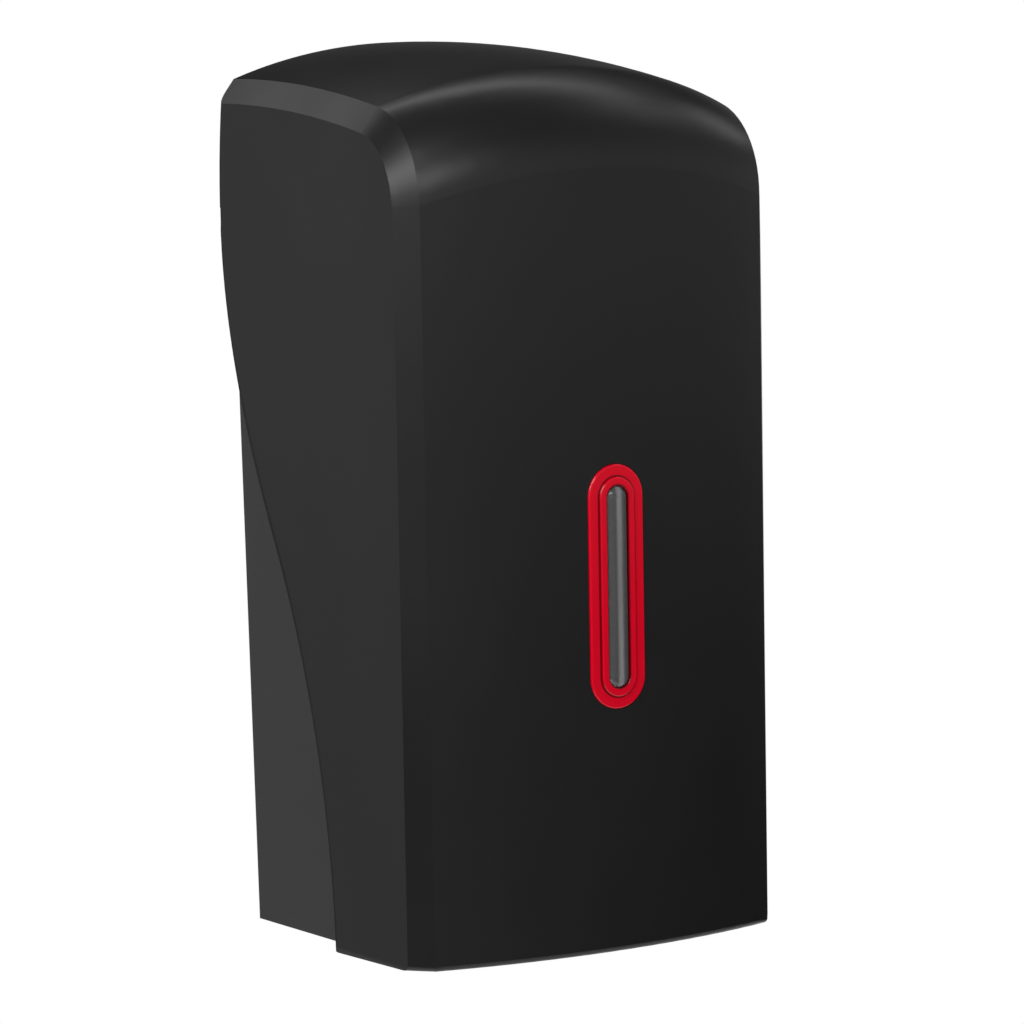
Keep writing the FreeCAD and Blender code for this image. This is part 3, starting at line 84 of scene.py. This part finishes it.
class Wire:
    """One shader socket that can be used in Python expressions."""

    def __init__(self, shader: "Shader", socket: bpy.types.NodeSocket) -> None:
        """Keep the socket and the shader that owns it."""
        self.shader = shader
        self.socket = socket

    def _math(self, operation: str, *values: object) -> "Wire":
        """Add one Math node.

        Args:
            operation: Name of the operation.
            values: Numbers or wires for its inputs, in order.

        Returns:
            The result of the node.
        """
        inputs = dict(enumerate(values))
        return self.shader.node("ShaderNodeMath", {"operation": operation}, inputs)

    def __add__(self, other: object) -> "Wire":
        """Sum."""
        return self._math("ADD", self, other)

    def __radd__(self, other: object) -> "Wire":
        """Sum with a number on the left."""
        return self._math("ADD", other, self)

    def __sub__(self, other: object) -> "Wire":
        """Difference."""
        return self._math("SUBTRACT", self, other)

    def __rsub__(self, other: object) -> "Wire":
        """Difference from a number on the left."""
        return self._math("SUBTRACT", other, self)

    def __mul__(self, other: object) -> "Wire":
        """Product."""
        return self._math("MULTIPLY", self, other)

    def __rmul__(self, other: object) -> "Wire":
        """Product with a number on the left."""
        return self._math("MULTIPLY", other, self)

    def absolute(self) -> "Wire":
        """The value without its sign."""
        return self._math("ABSOLUTE", self)

    def at_least(self, other: object) -> "Wire":
        """The greater of two values."""
        return self._math("MAXIMUM", self, other)

    def root(self) -> "Wire":
        """Square root."""
        return self._math("SQRT", self)

    def span(self, low: float, high: float, out_low: float, out_high: float) -> "Wire":
        """Map the range low..high to out_low..out_high, kept inside it.

        Args:
            low: Value that gives out_low.
            high: Value that gives out_high.
            out_low: First end of the result.
            out_high: Other end of the result.

        Returns:
            The mapped value.
        """
        inputs = {
            "Value": self,
            "From Min": low,
            "From Max": high,
            "To Min": out_low,
            "To Max": out_high,
        }
        return self.shader.node("ShaderNodeMapRange", {"clamp": True}, inputs)


class Shader:
    """The nodes of a material or of the world, under construction."""

    def __init__(self, owner: bpy.types.Material | bpy.types.World, output: str) -> None:
        """Start with an output alone.

        Args:
            owner: The material or world.
            output: Blender's type name of the output node.
        """
        owner.use_nodes = True
        self.owner = owner
        self.tree = owner.node_tree
        self.tree.nodes.clear()
        self.output = self.tree.nodes.new(output)

    @classmethod
    def of_material(cls, name: str) -> "Shader":
        """Start a material."""
        return cls(bpy.data.materials.new(name), "ShaderNodeOutputMaterial")

    @classmethod
    def of_world(cls, name: str) -> "Shader":
        """Start a world."""
        return cls(bpy.data.worlds.new(name), "ShaderNodeOutputWorld")

    def node(
        self,
        kind: str,
        settings: Mapping[str, object],
        inputs: Mapping[object, object],
        output: object = 0,
    ) -> Wire:
        """Add a node.

        Args:
            kind: Blender's type name of the node.
            settings: Properties, set before the inputs; "stops" is a ramp's (place, colour) pairs.
            inputs: Values or wires by socket name or number.
            output: Name or number of the output that is returned.

        Returns:
            The chosen output.
        """
        made = self.tree.nodes.new(kind)
        for key, value in settings.items():
            if key == "stops":
                self._set_stops(made, value)
            else:
                setattr(made, key, value)
        for key, value in inputs.items():
            self._feed(made.inputs[key], value)
        return Wire(self, made.outputs[output])

    def _feed(self, socket: bpy.types.NodeSocket, value: object) -> None:
        """Link a wire to a socket, or set its value.

        Args:
            socket: The input.
            value: A wire, number, colour or vector.
        """
        if isinstance(value, Wire):
            self.tree.links.new(value.socket, socket)
        elif socket.type == "RGBA":
            socket.default_value = (*value, 1.0)
        else:
            socket.default_value = value

    @staticmethod
    def _set_stops(ramp: bpy.types.Node, stops: Iterable[tuple[float, Colour]]) -> None:
        """Give a colour ramp its stops.

        Args:
            ramp: The ramp node.
            stops: Places and colours in rising order.
        """
        elements = ramp.color_ramp.elements
        stops = list(stops)
        while len(elements) < len(stops):
            elements.new(1.0)
        for element, (place, colour) in zip(elements, stops):
            element.position = place
            element.color = (*colour, 1.0)

    def position(self) -> Wire:
        """The point being shaded, in the object's own coordinates."""
        return self.node("ShaderNodeTexCoord", {}, {}, "Object")

    def noise(
        self,
        scale: float,
        detail: float = 2.0,
        stretch: tuple[float, float, float] = (1.0, 1.0, 1.0),
    ) -> Wire:
        """Fractal noise over the object, from 0 to 1.

        Args:
            scale: Blotches per metre, roughly.
            detail: Number of finer layers.
            stretch: Factors on the axes; a small one draws the blotches out along its axis.

        Returns:
            The noise value.
        """
        place = self.node("ShaderNodeMapping", {}, {"Vector": self.position(), "Scale": stretch})
        inputs = {"Vector": place, "Scale": scale, "Detail": detail, "Roughness": NOISE_ROUGHNESS}
        return self.node("ShaderNodeTexNoise", {}, inputs)

    def part_of(self, vector: Wire, axis: str) -> Wire:
        """One component of a vector.

        Args:
            vector: The vector.
            axis: X, Y or Z.

        Returns:
            The component.
        """
        return self.node("ShaderNodeSeparateXYZ", {}, {"Vector": vector}, axis)

    def off_pill(self, height: float, half_straight: float, radius: float) -> Wire:
        """Distance from an upright pill outline in the middle of the front, negative inside it.

        Args:
            height: Height of the pill's centre.
            half_straight: Half the length of its straight sides.
            radius: Radius of its ends.

        Returns:
            The distance in metres.
        """
        place = self.position()
        across = self.part_of(place, "X")
        along = ((self.part_of(place, "Z") - height).absolute() - half_straight).at_least(0.0)
        return (across * across + along * along).root() - radius

    def blend(self, share: Wire, first: Colour | Wire, second: Colour | Wire) -> Wire:
        """A colour between two, by share from 0 to 1.

        Args:
            share: 0 gives the first colour, 1 the second.
            first: A colour or wire.
            second: A colour or wire.

        Returns:
            The mixed colour.
        """
        inputs = {"Factor": share, 6: first, 7: second}
        return self.node("ShaderNodeMix", {"data_type": "RGBA"}, inputs, 2)

    def bump(
        self, height: Wire, strength: float, distance: float, under: Wire | None = None
    ) -> Wire:
        """A normal from a height.

        Args:
            height: The height, from 0 to 1.
            strength: How much of the bending is used.
            distance: The height that 1 stands for, in metres.
            under: A normal that is bent already.

        Returns:
            The bent normal.
        """
        inputs = {"Height": height, "Strength": strength, "Distance": distance}
        if under is not None:
            inputs["Normal"] = under
        return self.node("ShaderNodeBump", {}, inputs, "Normal")

    def seen_rays(self) -> Wire:
        """1 for camera, glossy and transmission rays, 0 for the others."""
        camera, glossy, clear = (
            self.node("ShaderNodeLightPath", {}, {}, f"Is {kind} Ray")
            for kind in ("Camera", "Glossy", "Transmission")
        )
        return camera.at_least(glossy).at_least(clear)

    def complete(self, wire: Wire) -> bpy.types.Material | bpy.types.World:
        """Link the last shader to the output and hand over the material or world."""
        self.tree.links.new(wire.socket, self.output.inputs["Surface"])
        return self.owner

    def surface(self, inputs: Mapping[str, object]) -> bpy.types.Material:
        """Finish the material with a Principled shader that has these values or wires."""
        return self.complete(self.node("ShaderNodeBsdfPrincipled", {}, inputs))


@dataclass(frozen=True)
class MouldedPlastic:
    """Injection moulded plastic with a fine even grain.

    The grain is spark eroded texture, the waviness is the slow swell that moulded walls have, the
    clouds vary the roughness, and the haze is the faint film that hands and cloths leave.
    """

    name: str
    colour: Colour
    roughness: float
    haze: Colour = (0.0, 0.0, 0.0)
    grain: float = 0.12
    grain_scale: float = 2400.0
    grain_depth: float = 0.00004
    waviness: float = 0.05
    wave_scale: float = 22.0
    wave_depth: float = 0.0015
    variation: float = 0.035
    cloud_scale: float = 14.0
    smear_scale: float = 9.0
    smear_spread: tuple[float, float] = (0.42, 0.72)
    smear_stretch: tuple[float, float, float] = (1.0, 1.0, 0.35)
    specular: float = 0.5

    def tint(self, shader: Shader) -> Wire:
        """The colour with its haze."""
        smears = shader.noise(self.smear_scale, 4.0, self.smear_stretch)
        hazed = tuple(own + film for own, film in zip(self.colour, self.haze))
        return shader.blend(smears.span(*self.smear_spread, 0.0, 1.0), self.colour, hazed)

    def relief(self, shader: Shader) -> Wire:
        """The normal bent by grain and waviness."""
        swell = shader.bump(shader.noise(self.wave_scale, 1.0), self.waviness, self.wave_depth)
        grain = shader.noise(self.grain_scale, 1.0)
        return shader.bump(grain, self.grain, self.grain_depth, swell)

    def gloss(self, shader: Shader) -> Wire:
        """The roughness with cloudy patches."""
        low, high = self.roughness - self.variation, self.roughness + self.variation
        return shader.noise(self.cloud_scale, 3.0).span(*NOISE_SPREAD, low, high)

    def build(self) -> bpy.types.Material:
        """Make the material."""
        shader = Shader.of_material(self.name)
        return shader.surface({
            "Base Color": self.tint(shader),
            "Roughness": self.gloss(shader),
            "Normal": self.relief(shader),
            "Specular IOR Level": self.specular,
        })


@dataclass(frozen=True)
class EdgeHighlightPlastic(MouldedPlastic):
    """Moulded plastic with a painted highlight along its lower edge."""

    # the pale colour of the painted highlight along the lower edge
    painted_edge_highlight: Colour = (0.03, 0.03, 0.03)
    edge_height: float = -0.1493
    edge_depth: float = 0.0012
    patch_scale: float = 160.0

    def tint(self, shader: Shader) -> Wire:
        """The hazed colour, paler along the lower edge where a highlight is painted in patches."""
        height = shader.part_of(shader.position(), "Z")
        # painted highlight: a pale band along the lower edge, where a rounded edge would catch
        # light
        edge_highlight_band = height.span(self.edge_height - self.edge_depth, self.edge_height, 1.0, 0.0)
        patches = shader.noise(self.patch_scale).span(*PATCHY)
        return shader.blend(edge_highlight_band * patches, super().tint(shader), self.painted_edge_highlight)


@dataclass(frozen=True)
class SteppedPlastic(MouldedPlastic):
    """Moulded plastic with painted shade in the steps round the window."""

    # the dark red of the painted shade in the grooves round the window
    painted_groove_shade: Colour = (0.09, 0.0, 0.003)
    groove_shade_share: float = 0.8
    centre_height: float = -0.03097
    half_straight: float = 0.029
    ring_radius: float = 0.00665
    opening_radius: float = 0.004
    line_width: float = 0.0003
    line_softness: float = 0.4

    def tint(self, shader: Shader) -> Wire:
        """The hazed colour with painted shade at the foot of the ring and round the lens."""
        # painted shade: dark lines at the foot of the ring and round the lens opening, where the
        # grooves fall into shade
        radii = (self.ring_radius + self.line_width / 2, self.opening_radius)
        narrow = self.line_width * (1 - self.line_softness)
        wide = self.line_width * (1 + self.line_softness)
        foot, lip = (
            shader.off_pill(self.centre_height, self.half_straight, radius).absolute()
            .span(narrow, wide, self.groove_shade_share, 0.0)
            for radius in radii
        )
        return shader.blend(foot.at_least(lip), super().tint(shader), self.painted_groove_shade)


@dataclass(frozen=True)
class ClearLens:
    """Clear plastic with a light smoke tint, with a painted pale band of light down its middle,
    streaked by wiping.
    """

    name: str
    colour: Colour
    transmission: float
    roughness: float
    # the pale colour of the painted band of light down the lens's middle
    painted_light_band: Colour = (0.74, 0.73, 0.74)
    painted_band_place: float = 0.0003
    painted_band_reach: tuple[float, float] = (0.00044, 0.00154)
    streak_scale: float = 300.0
    streak_stretch: tuple[float, float, float] = (1.0, 1.0, 0.06)
    streak_roughness: tuple[float, float] = (0.7, 1.5)
    index: float = 1.49

    def build(self) -> bpy.types.Material:
        """Make the material."""
        shader = Shader.of_material(self.name)
        streaks = shader.noise(self.streak_scale, 2.0, self.streak_stretch)
        # painted light: a pale band down the middle of the lens, thinned in patches by the streaks
        off_painted_band = (shader.part_of(shader.position(), "X") - self.painted_band_place).absolute()
        painted_light_band = off_painted_band.span(*self.painted_band_reach, 1.0, 0.0)
        low, high = (factor * self.roughness for factor in self.streak_roughness)
        return shader.surface({
            "Base Color": shader.blend(painted_light_band * streaks.span(*PATCHY), self.colour, self.painted_light_band),
            "Roughness": streaks.span(*NOISE_SPREAD, low, high),
            "Transmission Weight": self.transmission,
            "IOR": self.index,
        })


@dataclass(frozen=True)
class PlatedMetal:
    """Plated metal with fine drawn lines and a little tarnish."""

    name: str
    colour: Colour
    roughness: float
    stretch: tuple[float, float, float] = (1.0, 1.0, 0.12)
    line_scale: float = 1400.0
    line_strength: float = 0.15
    line_depth: float = 0.00003
    line_roughness: tuple[float, float] = (0.75, 1.25)
    tarnish_scale: float = 240.0
    tarnish_spread: tuple[float, float] = (0.45, 0.75)
    tarnish_shade: float = 0.72

    def build(self) -> bpy.types.Material:
        """Make the material."""
        shader = Shader.of_material(self.name)
        lines = shader.noise(self.line_scale, 2.0, self.stretch)
        tarnish = shader.noise(self.tarnish_scale, 3.0).span(*self.tarnish_spread, 0.0, 1.0)
        dull = tuple(self.tarnish_shade * value for value in self.colour)
        low, high = (factor * self.roughness for factor in self.line_roughness)
        return shader.surface({
            "Base Color": shader.blend(tarnish, self.colour, dull),
            "Metallic": 1.0,
            "Roughness": lines.span(*NOISE_SPREAD, low, high),
            "Normal": shader.bump(lines, self.line_strength, self.line_depth),
        })


class Finish(Enum):
    """The finishes of the dispenser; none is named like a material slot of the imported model."""

    # the cover carries a painted highlight along its lower edge
    COVER = EdgeHighlightPlastic(
        "satin_black_cover", (0.0075, 0.0075, 0.0076), 0.33, (0.002, 0.002, 0.002)
    )
    HOUSING = MouldedPlastic(
        "matt_black_housing", (0.028, 0.028, 0.0282), 0.4, (0.004, 0.004, 0.004), grain=0.2
    )
    THROAT = MouldedPlastic(
        "smooth_black_throat", (0.014, 0.014, 0.015), 0.3, (0.003, 0.003, 0.003)
    )
    # the bezel carries painted shade in the grooves round its ring and lens
    BEZEL = SteppedPlastic(
        "gloss_red_bezel", (0.65, 0.0, 0.015), 0.1, (0.03, 0.004, 0.0),
        grain=0.015, grain_scale=1200.0, waviness=0.02, variation=0.02, specular=0.42,
    )
    # the lens carries a painted band of light down its middle
    LENS = ClearLens("smoke_tinted_lens", (0.22, 0.22, 0.225), 0.72, 0.05)
    RETAINER = MouldedPlastic("matt_black_retainer", (0.02, 0.02, 0.021), 0.45)
    STEEL = PlatedMetal("zinc_plated_steel", (0.62, 0.63, 0.65), 0.32)
    ACETAL = MouldedPlastic("white_acetal", (0.72, 0.71, 0.67), 0.38, (0.03, 0.02, 0.0))
    CHROME = PlatedMetal("satin_chrome", (0.72, 0.72, 0.73), 0.2, stretch=(0.12, 1.0, 1.0))

    def material(self) -> bpy.types.Material:
        """The material, made once."""
        known = bpy.data.materials.get(self.value.name)
        return known or self.value.build()


@dataclass
class Assembly:
    """A group of pieces, each with one finish."""

    finishes: dict[str, Finish] = field(default_factory=dict)

    def build(self, frame: Mapping[str, object]) -> None:
        """Dress every piece of the group.

        Args:
            frame: The loaded frame.
        """
        for node, finish in self.finishes.items():
            slots = frame["nodes"][node].data.materials
            slots.clear()
            slots.append(finish.material())
            LOG.info("%s: %s", node, finish.value.name)


@dataclass
class Cover(Assembly):
    """The moulded cover."""

    finishes: dict[str, Finish] = field(default_factory=lambda: {"front_cover": Finish.COVER})


@dataclass
class Housing(Assembly):
    """The part on the wall and the mouth of its outlet."""

    finishes: dict[str, Finish] = field(default_factory=lambda: {
        "back_housing": Finish.HOUSING,
        "throat_insert": Finish.THROAT,
    })


@dataclass
class LevelWindow(Assembly):
    """Red bezel, smoked lens and what holds them."""

    finishes: dict[str, Finish] = field(default_factory=lambda: {
        "window_bezel": Finish.BEZEL,
        "window_lens": Finish.LENS,
        "lens_retainer": Finish.RETAINER,
        "retainer_screws": Finish.STEEL,
    })


@dataclass
class Hinge(Assembly):
    """Pins, bushes and washers at the bottom of the cover."""

    finishes: dict[str, Finish] = field(default_factory=lambda: {
        f"hinge_{piece}_{side}": Finish.STEEL if piece == "pin" else Finish.ACETAL
        for piece in ("pin", "bush", "washer")
        for side in ("left", "right")
    })


@dataclass
class Lock(Assembly):
    """Quarter turn lock and the keeper on the housing."""

    finishes: dict[str, Finish] = field(default_factory=lambda: {
        "lock_barrel": Finish.CHROME,
        "lock_plug": Finish.CHROME,
        "lock_nut": Finish.CHROME,
        "lock_cam": Finish.STEEL,
        "cam_washer": Finish.STEEL,
        "cam_screw": Finish.STEEL,
        "lock_keeper": Finish.STEEL,
        "keeper_screws": Finish.STEEL,
    })


def add_object(name: str, data: bpy.types.ID) -> bpy.types.Object:
    """Put a new object into the scene.

    Args:
        name: Its name.
        data: Its mesh, lamp or camera.

    Returns:
        The object.
    """
    thing = bpy.data.objects.new(name, data)
    bpy.context.scene.collection.objects.link(thing)
    return thing


@dataclass(frozen=True)
class SoftBox:
    """A soft light on a sphere round the dispenser.

    Its azimuth is counted from the wall, clockwise as seen from above, in degrees.
    """

    name: str
    azimuth: float
    elevation: float
    power: float
    width: float
    height: float
    distance: float = 1.6

    def build(self, middle: Vector) -> None:
        """Put the light into the scene.

        Args:
            middle: The point that the light faces.
        """
        lamp = bpy.data.lights.new(self.name, "AREA")
        lamp.shape = "RECTANGLE"
        lamp.size = self.width
        lamp.size_y = self.height
        lamp.energy = self.power
        azimuth, elevation = math.radians(self.azimuth), math.radians(self.elevation)
        level = math.cos(elevation)
        away = Vector((math.sin(azimuth) * level, math.cos(azimuth) * level, math.sin(elevation)))
        thing = add_object(self.name, lamp)
        thing.location = middle + away * self.distance
        thing.rotation_mode = "QUATERNION"
        thing.rotation_quaternion = (-away).to_track_quat("-Z", "Y")
        thing.visible_camera = False


@dataclass
class Studio:
    """Pale floor, white surround, grey cloth tent, soft lights and the camera.

    A band of the tent has the heights between which it takes over from the one below, and its
    greys at the tent's azimuths, which are counted like those of the soft boxes.
    """

    floor_height: float = -0.42
    floor_size: float = 14.0
    floor_colour: Colour = (0.8, 0.8, 0.8)
    shadow_radius: float = 0.45
    shadow_fade: float = 0.55
    shadow_white: float = 0.75
    ambient: float = 0.45
    seen: float = 1.0
    middle: Vector = field(default_factory=lambda: Vector((0.0, -0.07, 0.0)))
    tent_outline: tuple[tuple[float, float], ...] = (
        (0.5, -0.4), (1.1, -0.37), (1.7, -0.27), (2.1, -0.05), (2.3, 0.3), (2.3, 0.8), (2.05, 1.3),
        (1.6, 1.75), (0.9, 2.1), (0.0, 2.25),
    )
    tent_segments: int = 48
    tent_azimuths: tuple[float, ...] = (0.0, 48.0, 122.0, 192.0, 262.0, 325.0, 360.0)
    tent_foot: tuple[float, ...] = (0.02, 0.18, 0.01, 0.14, 0.0, 0.29, 0.02)
    tent_bands: tuple[tuple[float, float, tuple[float, ...]], ...] = (
        (-0.28, 0.02, (0.04, 0.3, 0.42, 0.6, 0.55, 0.38, 0.04)),
        (0.3, 1.3, (0.0, 0.0, 0.1, 0.12, 0.04, 0.12, 0.0)),
        (1.4, 1.8, (0.1, 0.1, 0.1, 0.1, 0.1, 0.1, 0.1)),
    )
    boxes: tuple[SoftBox, ...] = (
        SoftBox("key_box", 232.0, 34.0, 13.5, 1.0, 0.9),
        SoftBox("left_box", 268.0, 21.0, 3.6, 0.4, 0.36),
        SoftBox("front_box", 195.0, 23.0, 2.0, 0.35, 0.35),
        SoftBox("overhead_strip", 49.0, 66.0, 3.3, 1.9, 0.22),
        SoftBox("upper_right_box", 114.0, 46.0, 0.6, 0.45, 0.45),
        SoftBox("right_box", 88.0, 33.0, 0.6, 0.4, 0.4),
        SoftBox("rear_left_box", 336.0, 36.0, 0.75, 0.5, 0.4),
        SoftBox("rear_right_box", 70.0, -4.0, 1.8, 0.8, 0.6),
    )
    lens: float = 135.865
    sensor: float = 36.0
    camera_place: Vector = field(default_factory=lambda: Vector((-0.665476, -1.179209, 0.090790)))
    turn: float = 0.541052
    pitch: float = 0.077878
    roll: float = -0.033746

    def build(self) -> None:
        """Make floor, surround, tent, lights and camera."""
        self._floor()
        self._surround()
        self._tent()
        for box in self.boxes:
            box.build(self.middle)
        self._camera()
        bpy.context.scene.view_settings.view_transform = "Standard"

    def _floor(self) -> None:
        """A plain pale floor: white to the eye, with the shadow left under the dispenser."""
        half = self.floor_size / 2
        corners = [(-half, -half), (half, -half), (half, half), (-half, half)]
        mesh = bpy.data.meshes.new("floor")
        mesh.from_pydata([(x, y, self.floor_height) for x, y in corners], [], [(0, 1, 2, 3)])
        floor = add_object("floor", mesh)
        shader = Shader.of_material("pale_floor")
        matt = shader.node("ShaderNodeBsdfDiffuse", {}, {"Color": self.floor_colour})
        white = shader.node("ShaderNodeEmission", {}, {"Color": WHITE, "Strength": self.seen})
        flat = shader.node("ShaderNodeVectorMath", {"operation": "MULTIPLY"},
                           {0: shader.position(), 1: (1.0, 1.0, 0.0)})
        away = shader.node("ShaderNodeVectorMath", {"operation": "LENGTH"}, {0: flat}, "Value")
        clear_of_shadow = self.shadow_radius + self.shadow_fade
        whitened = away.span(self.shadow_radius, clear_of_shadow, self.shadow_white, 1.0)
        inputs = {"Fac": shader.seen_rays() * whitened, 1: matt, 2: white}
        mixed = shader.node("ShaderNodeMixShader", {}, inputs)
        mesh.materials.append(shader.complete(mixed))
        floor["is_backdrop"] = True

    def _tent(self) -> None:
        """A grey cloth tent, seen only by glossy rays, open to the white floor at the bottom."""
        tent = add_object("tent", self._tent_mesh())
        shader = Shader.of_material("grey_tent")
        height, across, along = (shader.part_of(shader.position(), axis) for axis in "ZXY")
        angle = shader.node("ShaderNodeMath", {"operation": "ARCTAN2"}, {0: across, 1: along})
        turn = shader.node("ShaderNodeMath", {"operation": "FLOORED_MODULO"},
                           {0: angle, 1: math.tau})
        share = turn.span(0.0, math.tau, 0.0, 1.0)
        level = self._ring_of_greys(share, self.tent_foot)
        for low, high, greys in self.tent_bands:
            band = self._ring_of_greys(share, greys)
            level = shader.blend(height.span(low, high, 0.0, 1.0), level, band)
        glow = shader.node("ShaderNodeEmission", {}, {"Color": level, "Strength": 1.0})
        tent.data.materials.append(shader.complete(glow))
        tent.visible_camera = False
        tent.visible_diffuse = False
        tent.visible_transmission = False
        tent.visible_shadow = False
        tent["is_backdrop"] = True

    def _tent_mesh(self) -> bpy.types.Mesh:
        """The tent's outline turned about the upright axis."""
        count = self.tent_segments
        turns = [math.tau * step / count for step in range(count)]
        points = [
            (radius * math.cos(turn), radius * math.sin(turn), height)
            for radius, height in self.tent_outline
            for turn in turns
        ]
        faces = []
        for low in range(0, len(points) - count, count):
            high = low + count
            for step in range(count):
                beside = (step + 1) % count
                faces.append((low + step, low + beside, high + beside, high + step))
        mesh = bpy.data.meshes.new("tent")
        mesh.from_pydata(points, [], faces)
        return mesh

    def _ring_of_greys(self, share: Wire, greys: tuple[float, ...]) -> Wire:
        """Greys all the way round, blended from one azimuth of the tent to the next.

        Args:
            share: The place round the ring, from 0 to 1.
            greys: The grey at each azimuth of the tent.

        Returns:
            The grey as a colour.
        """
        stops = [
            (azimuth / FULL_TURN, (grey, grey, grey))
            for azimuth, grey in zip(self.tent_azimuths, greys)
        ]
        return share.shader.node("ShaderNodeValToRGB", {"stops": stops}, {"Fac": share}, "Color")

    def _surround(self) -> None:
        """White where it is looked at or mirrored, softer as a light."""
        shader = Shader.of_world("surround")
        strength = shader.seen_rays().span(0.0, 1.0, self.ambient, self.seen)
        white = shader.node("ShaderNodeBackground", {}, {"Color": WHITE, "Strength": strength})
        bpy.context.scene.world = shader.complete(white)

    def _camera(self) -> None:
        """The camera, at the photo's place and angle."""
        sin_a, cos_a = math.sin(self.turn), math.cos(self.turn)
        sin_p, cos_p = math.sin(self.pitch), math.cos(self.pitch)
        forward = Vector((sin_a * cos_p, cos_a * cos_p, -sin_p))
        level = Vector((cos_a, -sin_a, 0.0))
        upright = level.cross(forward)
        right = math.cos(self.roll) * level + math.sin(self.roll) * upright
        above = -math.sin(self.roll) * level + math.cos(self.roll) * upright
        data = bpy.data.cameras.new("camera")
        data.lens = self.lens
        data.sensor_width = self.sensor
        camera = add_object("camera", data)
        axes = Matrix((right, above, -forward)).transposed()
        camera.matrix_world = Matrix.Translation(self.camera_place) @ axes.to_4x4()
        bpy.context.scene.camera = camera


def main() -> Box:
    """Dress the dispenser and set up the studio.

    Returns:
        The box of the model as packed.
    """
    logging.basicConfig(level=logging.INFO, format="%(name)s: %(message)s")
    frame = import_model()
    cad_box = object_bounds()
    for assembly in (Housing(), Cover(), LevelWindow(), Hinge(), Lock()):
        assembly.build(frame)
    Studio().build()
    return cad_box


if __name__ == "__main__":
    main()
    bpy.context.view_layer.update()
